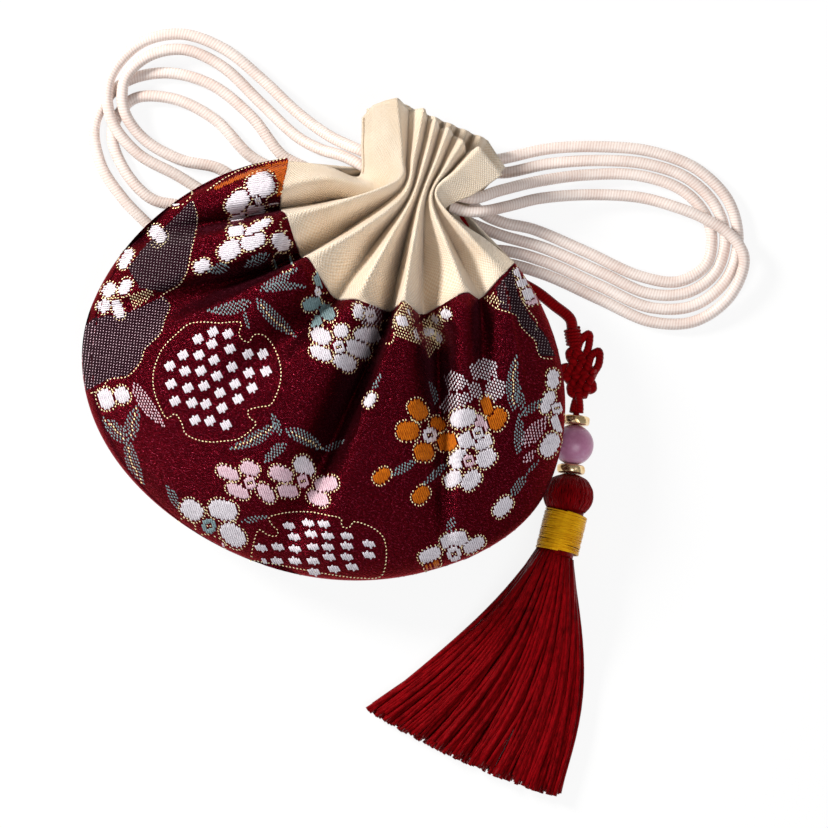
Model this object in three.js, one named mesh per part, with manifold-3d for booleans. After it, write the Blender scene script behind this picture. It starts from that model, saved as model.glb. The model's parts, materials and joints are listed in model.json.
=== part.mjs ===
import * as THREE from "three";
import { mergeVertices } from "three/addons/utils/BufferGeometryUtils.js";
import Module from "manifold-3d";

// Embroidered drawstring sachet with a tassel pendant, lying on its back.
// Millimetres, +Z up, front of the pouch facing +Z, neck towards +Y.
// The origin is on the table under the middle of the belly.

// Pouch: two brocade panels sewn together round a curved edge
const BELLY_HALF_WIDTH = 59;
const BELLY_TO_BOTTOM = 42.7;
const BELLY_TO_CROWN = 55.4;
const SEAM_HEIGHT = 16;
const FRONT_RISE = 20;
const FRONT_ROUNDNESS = 0.55;
const BACK_DROP = 17.5;
const BACK_ROUNDNESS = 0.7;
const SEAM_ROLL = 0.2;
const SEAM_GROOVE = 0.8;
const POUCH_FRONT_ROWS = 14;
const POUCH_BACK_ROWS = 10;

// Join between brocade and collar: an arc that dips from the two shoulder corners
const CORNER_ANGLE = THREE.MathUtils.degToRad(149);
const JOIN_DIP = 24;
const JOIN_ARC = 0.8;
const JOIN_SCALLOP = 2.4;
const JOIN_GAP = 0.8;
const EDGE_SPREAD = 0.68;
const EDGE_POWER = 7;
const FIT_GAP = 0.3;
const TABLE_CLEARANCE = 0.2;

// Fold lines across the join, as shares of its half width: corner, then crests and valleys in turn
const FOLD_LINES = [-1, -0.96, -0.91, -0.74, -0.57, -0.4, -0.22, 0.08, 0.25, 0.36, 0.47, 0.55, 0.61, 0.8, 1];
const LAST_CREST = (FOLD_LINES.length - 3) / 2;
const END_FLAP = 0.5;
const VALLEYS = [
  { depth: 4.2, reach: 15 },
  { depth: 5, reach: 18 },
  { depth: 3, reach: 14 },
  { depth: 7.5, reach: 30 },
  { depth: 6, reach: 20 },
  { depth: 3, reach: 12 },
];
const BACK_FOLD_SHARE = 0.3;
const COLUMNS_PER_PLEAT = 6;

// Collar: cotton gathered into pleats at the cinch, with a frill above it
const COLLAR_THICKNESS = 0.7;
const CINCH_Y = 54.5;
const NECK_X = 1;
const NECK_HEIGHT = 13.5;
const PLEAT_PITCH = 3.7;
const FRONT_PLEAT_RISE = 6.5;
const BACK_PLEAT_RISE = 5;
const PLEAT_FULLNESS = 0.8;
const COLLAR_BULGE = 1.3;
const FRILL_HEIGHT = 18;
const FRILL_SPREAD = 1.05;
const FRILL_LIFT = 1.2;
const FLAP_FLARE = 4.5;
const FLAP_DROP = 4.5;
const FLAP_LEVEL = 0.6;
const COLLAR_ROWS = 5;
const FRILL_ROWS = 4;

// Cords, with their routes as [x, y, height] from the middle of the cinch
const CORD_DIAMETER = 2.8;
const CORD_SIDES = 8;
const CORD_STEPS = 80;
const PENDANT_CORD_STEPS = 14;
const MOUTH_HALF_GAP = CORD_DIAMETER / 2 + FIT_GAP;
const ON_TABLE = CORD_DIAMETER / 2 + TABLE_CLEARANCE;
const ON_CORD = ON_TABLE + CORD_DIAMETER + TABLE_CLEARANCE;

// Pendant: its knot, rings, bead and tassel head share one axis that leans down to the table
const BEAD_BESIDE_BELLY = 1.2;
const BEAD_Y = 13.1;
const BEAD_RADIUS = 4.9;
const BEAD_HEIGHT = BEAD_RADIUS + TABLE_CLEARANCE;
const PENDANT_TURN = THREE.MathUtils.degToRad(17.5);
const PENDANT_LEAN = THREE.MathUtils.degToRad(-6);
const CORE_RADIUS = 0.8;
const BORE_RADIUS = CORE_RADIUS + FIT_GAP;
const RING_TUBE_RADIUS = 1.15;
const RING_RADIUS = BORE_RADIUS + RING_TUBE_RADIUS;
const RING_OFFSET = Math.sqrt((BEAD_RADIUS + RING_TUBE_RADIUS + FIT_GAP) ** 2 - RING_RADIUS ** 2);
const RING_SEGMENTS = 10;
const ROUND_SEGMENTS = 20;

// Knot: two cords woven across each other, with ear loops, a neck and a wound sleeve
const KNOT_DISTANCE = 17;
const KNOT_TURN = THREE.MathUtils.degToRad(15);
const KNOT_CORD_DIAMETER = 1.9;
const KNOT_PASSES = 4;
const KNOT_PITCH = 2.1;
const KNOT_WEAVE = 0.7;
const KNOT_SLANT = THREE.MathUtils.degToRad(33);
const KNOT_STEPS = 54;
const RIGHT_EARS = [3.4, 1.7, 3.4];
const LEFT_EARS = [1.7, 1.7, 1.7];
const TAIL_RADIUS = 1.7;
const NECK_RADIUS = 1.5;
const SLEEVE_RADIUS = 2;
const SLEEVE_LENGTH = 2.4;
const SLEEVE_TOP = 10.2;
const SLEEVE_APPROACH = 3.5;

// Tassel: a looped head, a wound waist and a fan of threads
const HEAD_PROFILE = [
  [2, 0],
  [4.6, 1.2],
  [5.8, 3.2],
  [6.1, 5],
  [5.7, 6.8],
  [4.4, 8.4],
];
const WAIST_RADIUS = 4.4;
const BAND_LENGTH = 10;
const BAND_THICKNESS = 0.7;
const BAND_TURN = THREE.MathUtils.degToRad(9);
const BAND_CLEAR_OF_HEAD = 0.6;
const SKIRT_BELOW_BAND = 1.2;
const THREAD_LENGTH = 57;
const SKIRT_TURN = THREE.MathUtils.degToRad(-1.6);
const SKIRT_FAN = THREE.MathUtils.degToRad(22);
const SKIRT_HEM_HALF = 1.8;
const SKIRT_RIDGES = 16;
const SKIRT_RIDGE_DEPTH = 0.35;
const SKIRT_COLUMNS = 64;
const SKIRT_ROWS = 7;
const SKIRT_DROOP = 0.55;

// Left drawstring: doubled and wound twice, its two ends in the neck
const LEFT_ROUTE = [
  [-9.5, 2.8, NECK_HEIGHT], [-14, 3.5, NECK_HEIGHT], [-18.5, 3.6, 12.2], [-24, 4, 9.4], [-33, 6.2, 6],
  [-44, 10.3, 4.2],
  [-55.5, 13.5, ON_CORD], [-66.5, 12.7, ON_CORD], [-74.8, 6.5, ON_CORD], [-78, -4, ON_CORD],
  [-74, -12.5, ON_CORD], [-65, -17.7, 3], [-54, -18.9, ON_TABLE], [-45, -20.3, ON_TABLE],
  [-34, -22.1, ON_TABLE], [-25, -22.5, ON_TABLE], [-18.9, -20, ON_TABLE], [-16.4, -13.9, ON_TABLE],
  [-18.9, -7.8, ON_TABLE], [-25, -5.3, ON_TABLE], [-32.6, -4.5, ON_TABLE], [-43, 1.1, ON_TABLE],
  [-55.5, 4.5, ON_TABLE], [-67, 2.5, ON_TABLE], [-75.3, -4.3, ON_TABLE], [-77.3, -15, ON_TABLE],
  [-72, -23.7, ON_TABLE], [-64, -29.1, ON_TABLE], [-57, -32.1, ON_TABLE], [-50, -34.7, ON_TABLE],
  [-44, -35.1, ON_TABLE], [-40, -33.5, ON_TABLE], [-38.4, -29.5, ON_TABLE], [-40, -25.5, ON_TABLE],
  [-44, -23.9, ON_TABLE], [-50, -25.1, ON_TABLE], [-57.5, -26.5, ON_TABLE],
  [-66.5, -22.5, ON_TABLE], [-72.6, -15.3, ON_TABLE], [-71.2, -6.3, ON_TABLE],
  [-62.5, -2.3, ON_TABLE], [-51, -2.9, ON_TABLE], [-39.5, -7.7, ON_TABLE], [-31, -8.3, ON_TABLE],
  [-25, -8.3, ON_TABLE], [-21, -9.9, ON_TABLE], [-19.4, -13.9, ON_TABLE], [-21, -17.9, ON_TABLE],
  [-25, -19.5, ON_TABLE], [-32, -18.1, ON_TABLE], [-44.5, -13.5, ON_TABLE], [-55, -15.1, ON_TABLE],
  [-65, -13.9, 2.8], [-72, -9.3, ON_CORD], [-74.6, -2.2, ON_CORD], [-71.6, 4.7, ON_CORD],
  [-64.5, 9.5, ON_CORD], [-54.5, 9.5, ON_CORD], [-42, 4.9, 4.4], [-31, 0.9, 6.4], [-24.5, 0.2, 9],
  [-19, 0.7, 11.9], [-14, 0.4, NECK_HEIGHT], [-9.5, -0.3, NECK_HEIGHT],
];

// Right drawstring: doubled and wound twice, its two ends in the neck
const RIGHT_ROUTE = [
  [9.5, 2.5, NECK_HEIGHT], [14, 3.6, NECK_HEIGHT], [19, 7.8, 11], [27, 13.9, 5.8], [37, 19.9, 2.2],
  [48.5, 24.6, ON_TABLE], [59.4, 25.4, ON_TABLE], [66.6, 22.4, ON_TABLE], [70.6, 17.5, ON_TABLE],
  [71.8, 11.2, ON_TABLE], [67.4, 4.9, ON_TABLE], [58.5, 2.4, ON_TABLE], [44, 2.7, ON_TABLE],
  [30, 2.7, ON_TABLE], [23, 1.4, ON_TABLE], [18, 1.4, ON_TABLE], [14.1, 2.8, ON_TABLE],
  [12.5, 6.5, ON_TABLE], [14.1, 10.4, ON_TABLE], [19, 12.9, ON_TABLE], [27.5, 18.8, ON_TABLE],
  [38.7, 24.4, ON_TABLE], [49.6, 28, ON_TABLE], [59.8, 28.5, ON_TABLE], [68.3, 25.1, ON_TABLE],
  [73.6, 18.7, ON_TABLE], [74.6, 10.3, ON_TABLE], [70.4, 3.3, ON_TABLE], [62, -0.6, ON_TABLE],
  [49, -0.5, ON_TABLE], [34, -0.4, ON_TABLE], [23, -1.7, ON_TABLE], [14, -1.8, ON_TABLE],
  [8.5, -1.5, ON_TABLE], [4.8, -3, ON_TABLE], [3.3, -6.7, ON_TABLE], [4.8, -10.4, ON_TABLE],
  [8.5, -11.9, ON_TABLE], [16, -9.7, ON_TABLE], [25, -5, ON_TABLE], [35.5, -3.4, ON_TABLE],
  [50, -3.6, ON_TABLE], [63.5, -3.6, ON_TABLE], [73, 1, ON_TABLE], [77.6, 9.5, ON_TABLE],
  [76.8, 19, ON_TABLE], [71, 27.2, ON_TABLE], [60.8, 31.5, ON_TABLE], [49, 31.1, ON_TABLE],
  [37.5, 27.5, ON_TABLE], [26, 22.1, ON_TABLE], [16, 15.1, ON_TABLE], [8.5, 10.9, ON_TABLE],
  [3.2, 6.5, ON_TABLE], [0.2, 1.3, ON_TABLE], [0, -6.5, ON_TABLE], [3, -12.6, ON_TABLE],
  [9, -15.1, ON_TABLE], [17, -12.6, ON_TABLE], [25, -8.1, ON_TABLE], [36.5, -6.3, ON_TABLE],
  [51.5, -6.6, ON_TABLE], [65, -6.7, ON_TABLE], [74.6, -2.5, ON_TABLE], [80, 6.3, 3.2],
  [79.6, 15.9, ON_CORD], [74.8, 19.7, ON_CORD], [67, 21.1, ON_CORD], [59, 20.9, ON_CORD], [50.5, 19.7, 3.4],
  [39.3, 15.6, 3.8], [28.6, 10, 6.5], [22, 5, 9.6],
  [17.5, 1.8, 12.7], [13.5, 0, NECK_HEIGHT], [9.5, -0.5, NECK_HEIGHT],
];

// Pendant cord: from under the collar to just short of the knot's sleeve
const PENDANT_ROUTE = [
  [17, -3.7, 7.2], [20.5, -5.5, 6.6], [24.5, -9, 5.2], [28.5, -10.5, 3], [32.5, -10.4, 1.8],
  [37, -10.9, 1.7], [41.8, -12.2, 1.7],
];

const SMALLEST_AREA = 1e-9;
const MERGE_DISTANCE = 1e-4;
const SLOPE_STEP = 1e-3;

const wasm = await Module();
wasm.setup();
const { lerp, clamp, smoothstep } = THREE.MathUtils;

// A closed solid through a row of loops, its two ends closed across the loop
function loft(loops) {
  const corners = [];
  const addTriangle = (a, b, c) => {
    const area = b.clone().sub(a).cross(c.clone().sub(a)).length();
    if (area > SMALLEST_AREA) corners.push(a, b, c);
  };
  const addQuad = (a, b, c, d) => {
    addTriangle(a, b, c);
    addTriangle(a, c, d);
  };
  const count = loops[0].length;
  for (let i = 0; i + 1 < loops.length; i++) {
    for (let j = 0; j < count; j++) {
      const k = (j + 1) % count;
      addQuad(loops[i][j], loops[i][k], loops[i + 1][k], loops[i + 1][j]);
    }
  }
  const first = loops[0];
  const last = loops[loops.length - 1];
  for (let j = 0; j + 1 < count / 2; j++) {
    const far = count - 1 - j;
    addQuad(first[j], first[far], first[far - 1], first[j + 1]);
    addQuad(last[j], last[j + 1], last[far - 1], last[far]);
  }
  return new THREE.BufferGeometry().setFromPoints(corners);
}

// The column places, counted in pleats: crests on whole numbers, valleys half way
function pleatColumns() {
  const steps = Math.round((LAST_CREST + 2 * END_FLAP) * COLUMNS_PER_PLEAT);
  const columns = [];
  for (let i = 0; i <= steps; i++) columns.push(i / COLUMNS_PER_PLEAT - END_FLAP);
  return columns;
}

function joinShare(pleat) {
  const place = clamp((pleat + END_FLAP) * 2, 0, FOLD_LINES.length - 1);
  const index = Math.min(Math.floor(place), FOLD_LINES.length - 2);
  return lerp(FOLD_LINES[index], FOLD_LINES[index + 1], place - index);
}

// A point of the outline seen from above, by its angle from the bottom middle
function edgePoint(angle) {
  const reach = Math.cos(angle) > 0 ? BELLY_TO_BOTTOM : BELLY_TO_CROWN;
  return new THREE.Vector3(BELLY_HALF_WIDTH * Math.sin(angle), -reach * Math.cos(angle), 0);
}

function edgeAngle(share) {
  return CORNER_ANGLE * (EDGE_SPREAD * share + (1 - EDGE_SPREAD) * share ** EDGE_POWER);
}

// How far a column has sunk into a gather: 0 on a crest and on the end flaps, 1 in a valley
function valleyShare(pleat) {
  if (pleat <= 0 || pleat >= LAST_CREST) return 0;
  return 0.5 - 0.5 * Math.cos(2 * Math.PI * pleat);
}

// The join seen from above: an arc, with a scallop pushed out from the cinch at each valley
function joinPoint(pleat) {
  const share = joinShare(pleat);
  const corner = edgePoint(CORNER_ANGLE);
  const dip = JOIN_DIP * Math.max(0, Math.cos((Math.PI / 2) * share)) ** JOIN_ARC;
  const point = new THREE.Vector3(corner.x * share, corner.y - dip, 0);
  const outward = point.clone().sub(new THREE.Vector3(NECK_X, CINCH_Y, 0)).normalize();
  return point.addScaledVector(outward, JOIN_SCALLOP * valleyShare(pleat));
}

// How deep the gathers are at a column, this far down from the join
function foldDrop(pleat, distance) {
  const valley = VALLEYS[clamp(Math.floor(pleat), 0, VALLEYS.length - 1)];
  return valley.depth * valleyShare(pleat) * Math.exp(-((distance / valley.reach) ** 2));
}

// A point of the pouch: around is 0 at the front join, 1 at the outline and 2 at the back join
function pouchPoint(pleat, around, groove = 0) {
  const share = joinShare(pleat);
  const join = joinPoint(pleat);
  const edge = edgePoint(edgeAngle(share));
  const front = around <= 1;
  const out = Math.sin((Math.PI / 2) * (front ? around : 2 - around));
  const point = join.clone().lerp(edge, out);
  const reach = point.y > 0 ? BELLY_TO_CROWN : BELLY_TO_BOTTOM;
  const rim = (point.x / BELLY_HALF_WIDTH) ** 2 + (point.y / reach) ** 2;
  const inside = Math.max(0, 1 - rim);
  const drop = foldDrop(pleat, point.distanceTo(join));
  if (front) point.z = SEAM_HEIGHT + FRONT_RISE * inside ** FRONT_ROUNDNESS - drop;
  else point.z = SEAM_HEIGHT - BACK_DROP * inside ** BACK_ROUNDNESS + drop * BACK_FOLD_SHARE;
  point.z = Math.max(0, point.z);
  const inward = join.sub(edge).setZ(0);
  if (groove > 0 && inward.length() > groove) point.addScaledVector(inward.normalize(), groove);
  return point;
}

function brocadePouch() {
  const loops = pleatColumns().map((pleat) => {
    const seam = 1 + SEAM_ROLL * Math.sin(edgeAngle(joinShare(pleat)));
    const loop = [];
    for (let i = 0; i <= POUCH_FRONT_ROWS; i++) {
      const groove = i === POUCH_FRONT_ROWS ? SEAM_GROOVE : 0;
      loop.push(pouchPoint(pleat, (seam * i) / POUCH_FRONT_ROWS, groove));
    }
    for (let i = 1; i <= POUCH_BACK_ROWS; i++) {
      loop.push(pouchPoint(pleat, lerp(seam, 2, i / POUCH_BACK_ROWS)));
    }
    return loop;
  });
  return loft(loops);
}

// How far a column stands up from the middle of the neck: 1 on a crest, 0 in a valley
function pleatHeight(pleat, flapLevel) {
  const past = Math.max(-pleat, pleat - LAST_CREST, 0) / END_FLAP;
  if (past > 0) return lerp(1, flapLevel, smoothstep(past, 0, 1));
  return 0.5 + 0.5 * Math.cos(2 * Math.PI * pleat);
}

// A point in the middle of the cloth: along is -1 at the join, 0 at the cinch, 1 at the frill's edge
function collarPoint(pleat, along, side) {
  const past = Math.max(-pleat, pleat - LAST_CREST, 0) / END_FLAP;
  const crowding = past > 0 ? 0 : (PLEAT_FULLNESS / (4 * Math.PI)) * Math.sin(4 * Math.PI * pleat);
  const across = PLEAT_PITCH * (pleat + crowding - LAST_CREST / 2);
  const rise = side > 0 ? FRONT_PLEAT_RISE : BACK_PLEAT_RISE;
  const foot = MOUTH_HALF_GAP + COLLAR_THICKNESS / 2;
  const lift = foot + rise * pleatHeight(pleat, 0);
  const cinch = new THREE.Vector3(NECK_X + across, CINCH_Y, NECK_HEIGHT + side * lift);
  if (along <= 0) {
    const join = pouchPoint(pleat, side > 0 ? 0 : 2);
    join.z -= (side * COLLAR_THICKNESS) / 2;
    if (past > 0) join.z += side * (COLLAR_THICKNESS / 2 + FIT_GAP) * 2 * past ** 2;
    const length = join.distanceTo(cinch);
    const down = -along * (1 - JOIN_GAP / length);
    const point = cinch.clone().lerp(join, down);
    point.z = lerp(join.z, cinch.z, (1 - down) ** COLLAR_BULGE);
    return point;
  }
  const flare = Math.sign(pleat - LAST_CREST / 2) * FLAP_FLARE * past;
  const top = new THREE.Vector3(
    NECK_X + across * FRILL_SPREAD + flare,
    CINCH_Y + FRILL_HEIGHT - FLAP_DROP * past,
    NECK_HEIGHT + side * (foot + rise * FRILL_LIFT * pleatHeight(pleat, FLAP_LEVEL)),
  );
  return cinch.lerp(top, along);
}

function collar(side) {
  const rows = [];
  for (let i = 0; i < COLLAR_ROWS; i++) rows.push(i / COLLAR_ROWS - 1);
  for (let i = 0; i <= FRILL_ROWS; i++) rows.push(i / FRILL_ROWS);
  const first = -END_FLAP;
  const last = LAST_CREST + END_FLAP;
  const loops = pleatColumns().map((pleat) => {
    const faces = [1, -1].map((face) =>
      rows.map((along) => {
        const before = collarPoint(Math.max(first, pleat - SLOPE_STEP), along, side);
        const after = collarPoint(Math.min(last, pleat + SLOPE_STEP), along, side);
        const lower = collarPoint(pleat, Math.max(-1, along - SLOPE_STEP), side);
        const upper = collarPoint(pleat, Math.min(1, along + SLOPE_STEP), side);
        const normal = after.sub(before).cross(upper.sub(lower)).normalize();
        const point = collarPoint(pleat, along, side);
        return point.addScaledVector(normal, (face * COLLAR_THICKNESS) / 2);
      }),
    );
    return [...faces[1], ...faces[0].reverse()];
  });
  return loft(loops);
}

function tube(points, diameter, steps) {
  const section = new THREE.Shape().absarc(0, 0, diameter / 2, 0, 2 * Math.PI);
  return new THREE.ExtrudeGeometry(section, {
    steps,
    curveSegments: CORD_SIDES / 2,
    bevelEnabled: false,
    extrudePath: new THREE.CatmullRomCurve3(points),
  });
}

function routeTube(route, steps, ends = []) {
  const points = route.map(([x, y, z]) => new THREE.Vector3(NECK_X + x, CINCH_Y + y, z));
  return tube([...points, ...ends], CORD_DIAMETER, steps);
}

// A turned piece: its outline as [radius, place along the axis], closed on itself or on the axis
function turned(outline, frame) {
  const points = outline.map(([radius, along]) => new THREE.Vector2(radius, along));
  return new THREE.LatheGeometry(points, ROUND_SEGMENTS).applyMatrix4(frame);
}

function solidOf(geometry) {
  const bare = new THREE.BufferGeometry().setAttribute("position", geometry.getAttribute("position"));
  const merged = mergeVertices(bare.setIndex(geometry.index), MERGE_DISTANCE);
  return new wasm.Manifold(
    new wasm.Mesh({
      numProp: 3,
      vertProperties: new Float32Array(merged.attributes.position.array),
      triVerts: new Uint32Array(merged.index.array),
    }),
  );
}

function joined(geometries) {
  const whole = geometries.map(solidOf).reduce((sum, piece) => sum.add(piece));
  // Where faces nearly touch, the sum can leave a sliver beside the piece
  const mesh = whole.decompose().reduce((a, b) => (a.volume() > b.volume() ? a : b)).getMesh();
  const geometry = new THREE.BufferGeometry();
  geometry.setAttribute("position", new THREE.BufferAttribute(mesh.vertProperties, 3));
  return geometry.setIndex(new THREE.BufferAttribute(mesh.triVerts, 1));
}

// A frame turned about the vertical and leaned about its own cross axis
function frameAt(place, turn, lean = 0) {
  const frame = new THREE.Matrix4().makeRotationZ(turn);
  return frame.multiply(new THREE.Matrix4().makeRotationX(lean)).setPosition(place);
}

const beadCentre = new THREE.Vector3(BELLY_HALF_WIDTH + BEAD_BESIDE_BELLY, BEAD_Y, BEAD_HEIGHT);
const pendantFrame = frameAt(beadCentre, PENDANT_TURN, PENDANT_LEAN);
const tailBottom = RING_OFFSET + RING_TUBE_RADIUS + FIT_GAP;
const headTop = -tailBottom;
const headLength = HEAD_PROFILE[HEAD_PROFILE.length - 1][1];
const knotFrame = pendantFrame
  .clone()
  .multiply(frameAt(new THREE.Vector3(0, KNOT_DISTANCE, 0), KNOT_TURN));

function ring(along) {
  const outline = [];
  for (let i = 0; i <= RING_SEGMENTS; i++) {
    const angle = (2 * Math.PI * i) / RING_SEGMENTS;
    const radius = RING_RADIUS + RING_TUBE_RADIUS * Math.cos(angle);
    outline.push([radius, along + RING_TUBE_RADIUS * Math.sin(angle)]);
  }
  return turned(outline, pendantFrame);
}

function bead() {
  const start = Math.acos(BORE_RADIUS / BEAD_RADIUS);
  const outline = [];
  for (let i = 0; i <= RING_SEGMENTS; i++) {
    const angle = lerp(-start, start, i / RING_SEGMENTS);
    outline.push([BEAD_RADIUS * Math.cos(angle), BEAD_RADIUS * Math.sin(angle)]);
  }
  outline.push(outline[0]);
  return turned(outline, pendantFrame);
}

// One cord of the knot: passes side by side, over and under the other cord, joined by ear loops
function knotCord(ears, side) {
  const forward = new THREE.Vector3(side * Math.sin(KNOT_SLANT), Math.cos(KNOT_SLANT), 0);
  const sideways = new THREE.Vector3(-side * Math.sin(KNOT_SLANT), Math.cos(KNOT_SLANT), 0);
  const middle = (KNOT_PASSES - 1) / 2;
  const points = [];
  for (let pass = 0; pass < KNOT_PASSES; pass++) {
    const way = pass % 2 === 0 ? 1 : -1;
    for (let cross = 0; cross < KNOT_PASSES; cross++) {
      const along = way * (cross - middle) * KNOT_PITCH;
      const other = way > 0 ? cross : KNOT_PASSES - 1 - cross;
      const over = (pass + other) % 2 === 0 ? side : -side;
      const point = new THREE.Vector3(0, 0, over * KNOT_WEAVE);
      point.addScaledVector(forward, along).addScaledVector(sideways, (pass - middle) * KNOT_PITCH);
      points.push(point);
    }
    if (pass === KNOT_PASSES - 1) break;
    const tip = way * (middle * KNOT_PITCH + ears[pass]);
    const ear = new THREE.Vector3().addScaledVector(forward, tip);
    points.push(ear.addScaledVector(sideways, (pass + 0.5 - middle) * KNOT_PITCH));
  }
  return tube(points, KNOT_CORD_DIAMETER, KNOT_STEPS).applyMatrix4(knotFrame);
}

function pendantKnot() {
  const neck = [
    [0, 0],
    [NECK_RADIUS, 0],
    [NECK_RADIUS, SLEEVE_TOP - SLEEVE_LENGTH],
    [SLEEVE_RADIUS, SLEEVE_TOP - SLEEVE_LENGTH],
    [SLEEVE_RADIUS, SLEEVE_TOP],
    [0, SLEEVE_TOP],
  ];
  const core = [
    [0, headTop + FIT_GAP],
    [CORE_RADIUS, headTop + FIT_GAP],
    [CORE_RADIUS, tailBottom],
    [TAIL_RADIUS, tailBottom],
    [TAIL_RADIUS, KNOT_DISTANCE],
    [0, KNOT_DISTANCE],
  ];
  return joined([
    knotCord(RIGHT_EARS, 1),
    knotCord(LEFT_EARS, -1),
    turned(neck, knotFrame),
    turned(core, pendantFrame),
  ]);
}

const waistTop = new THREE.Vector3(0, headTop - headLength, 0).applyMatrix4(pendantFrame);
const bandFrame = frameAt(waistTop, BAND_TURN, PENDANT_LEAN);
const bandBottom = -(BAND_CLEAR_OF_HEAD + BAND_LENGTH);

function goldBand() {
  const inner = WAIST_RADIUS + FIT_GAP;
  const outer = inner + BAND_THICKNESS;
  const outline = [
    [inner, bandBottom],
    [outer, bandBottom],
    [outer, -BAND_CLEAR_OF_HEAD],
    [inner, -BAND_CLEAR_OF_HEAD],
    [inner, bandBottom],
  ];
  return turned(outline, bandFrame);
}

// The threads below the band: a fan that droops to the table, ridged in bundles
function tasselSkirt() {
  const start = new THREE.Vector3(0, bandBottom - SKIRT_BELOW_BAND, 0).applyMatrix4(bandFrame);
  const frame = frameAt(start.clone().setZ(0), SKIRT_TURN);
  const loops = [];
  for (let row = 0; row <= SKIRT_ROWS; row++) {
    const share = row / SKIRT_ROWS;
    const droop = smoothstep(share, 0, SKIRT_DROOP);
    const half = lerp(WAIST_RADIUS, SKIRT_HEM_HALF, droop);
    const middle = lerp(start.z, SKIRT_HEM_HALF + SKIRT_RIDGE_DEPTH + FIT_GAP, droop);
    const loop = [];
    for (let column = 0; column < SKIRT_COLUMNS; column++) {
      const angle = (2 * Math.PI * (column + 0.5)) / SKIRT_COLUMNS;
      const ridge = SKIRT_RIDGE_DEPTH * share * Math.cos(SKIRT_RIDGES * angle);
      const fan = SKIRT_FAN * Math.cos(angle);
      const length = THREAD_LENGTH * share;
      const x = WAIST_RADIUS * Math.cos(angle) + length * Math.sin(fan);
      const point = new THREE.Vector3(x, -length * Math.cos(fan), middle + (half + ridge) * Math.sin(angle));
      loop.push(point.applyMatrix4(frame));
    }
    loops.push(loop);
  }
  return loft(loops);
}

function tassel() {
  const profile = HEAD_PROFILE.map(([radius, down]) => [radius, headTop - down]).reverse();
  const bottom = profile[0][1];
  const head = turned([[0, bottom], ...profile, [0, headTop]], pendantFrame);
  const waist = [
    [0, bandBottom - 2 * SKIRT_BELOW_BAND],
    [WAIST_RADIUS, bandBottom - 2 * SKIRT_BELOW_BAND],
    [WAIST_RADIUS, BAND_CLEAR_OF_HEAD],
    [0, BAND_CLEAR_OF_HEAD],
  ];
  return joined([head, turned(waist, bandFrame), tasselSkirt()]);
}

const part = new THREE.Group();
part.name = "embroidered_sachet";

function addPiece(name, geometry, material) {
  const mesh = new THREE.Mesh(geometry, new THREE.MeshStandardMaterial(material));
  mesh.name = name;
  part.add(mesh);
}

const BROCADE = { color: 0x5a0a22, roughness: 0.45, metalness: 0 };
const COTTON = { color: 0xf2e6cf, roughness: 0.85, metalness: 0 };
const WHITE_CORD = { color: 0xf3e7e0, roughness: 0.5, metalness: 0 };
const RED_CORD = { color: 0x8e0a18, roughness: 0.6, metalness: 0 };
const GOLD_METAL = { color: 0xd9a441, roughness: 0.3, metalness: 1 };
const GOLD_THREAD = { color: 0xe0ad2a, roughness: 0.45, metalness: 0 };
const STONE = { color: 0xb58ab4, roughness: 0.3, metalness: 0 };
const RED_THREAD = { color: 0x7d0612, roughness: 0.6, metalness: 0 };
const sleeveEnds = [SLEEVE_APPROACH, FIT_GAP].map((above) =>
  new THREE.Vector3(0, SLEEVE_TOP + above, 0).applyMatrix4(knotFrame),
);

addPiece("brocade_pouch", brocadePouch(), BROCADE);
addPiece("front_collar", collar(1), COTTON);
addPiece("back_collar", collar(-1), COTTON);
addPiece("left_drawstring", routeTube(LEFT_ROUTE, CORD_STEPS), WHITE_CORD);
addPiece("right_drawstring", routeTube(RIGHT_ROUTE, CORD_STEPS), WHITE_CORD);
addPiece("pendant_cord", routeTube(PENDANT_ROUTE, PENDANT_CORD_STEPS, sleeveEnds), RED_CORD);
addPiece("pendant_knot", pendantKnot(), RED_CORD);
addPiece("upper_ring", ring(RING_OFFSET), GOLD_METAL);
addPiece("bead", bead(), STONE);
addPiece("lower_ring", ring(-RING_OFFSET), GOLD_METAL);
addPiece("tassel", tassel(), RED_THREAD);
addPiece("gold_band", goldBand(), GOLD_THREAD);

export default part;
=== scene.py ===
"""Embroidered drawstring sachet lying on its back, with looped cords and a tassel pendant."""

import json
import math
import random

import bpy
from mathutils import Matrix, Vector, noise
from mathutils.bvhtree import BVHTree

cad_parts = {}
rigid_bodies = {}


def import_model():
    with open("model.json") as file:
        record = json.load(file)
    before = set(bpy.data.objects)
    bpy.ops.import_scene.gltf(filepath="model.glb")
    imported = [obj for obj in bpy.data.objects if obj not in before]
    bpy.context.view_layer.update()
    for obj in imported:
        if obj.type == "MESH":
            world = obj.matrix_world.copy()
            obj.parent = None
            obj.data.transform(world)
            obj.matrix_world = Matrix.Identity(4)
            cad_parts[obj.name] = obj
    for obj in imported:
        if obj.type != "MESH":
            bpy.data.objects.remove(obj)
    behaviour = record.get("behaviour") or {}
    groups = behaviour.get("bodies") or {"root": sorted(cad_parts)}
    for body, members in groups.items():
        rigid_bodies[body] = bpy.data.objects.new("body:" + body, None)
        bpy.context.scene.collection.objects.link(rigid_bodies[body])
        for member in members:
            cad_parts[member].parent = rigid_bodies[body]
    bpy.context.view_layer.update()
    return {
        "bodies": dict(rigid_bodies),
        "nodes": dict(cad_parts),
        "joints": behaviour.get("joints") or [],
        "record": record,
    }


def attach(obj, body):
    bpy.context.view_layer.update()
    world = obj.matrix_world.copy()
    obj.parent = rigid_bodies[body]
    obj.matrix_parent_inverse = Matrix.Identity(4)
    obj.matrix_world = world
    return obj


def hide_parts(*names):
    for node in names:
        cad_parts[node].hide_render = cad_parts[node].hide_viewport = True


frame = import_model()

MM = 0.001
TAU = 2 * math.pi
BODY = "sachet"

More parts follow.
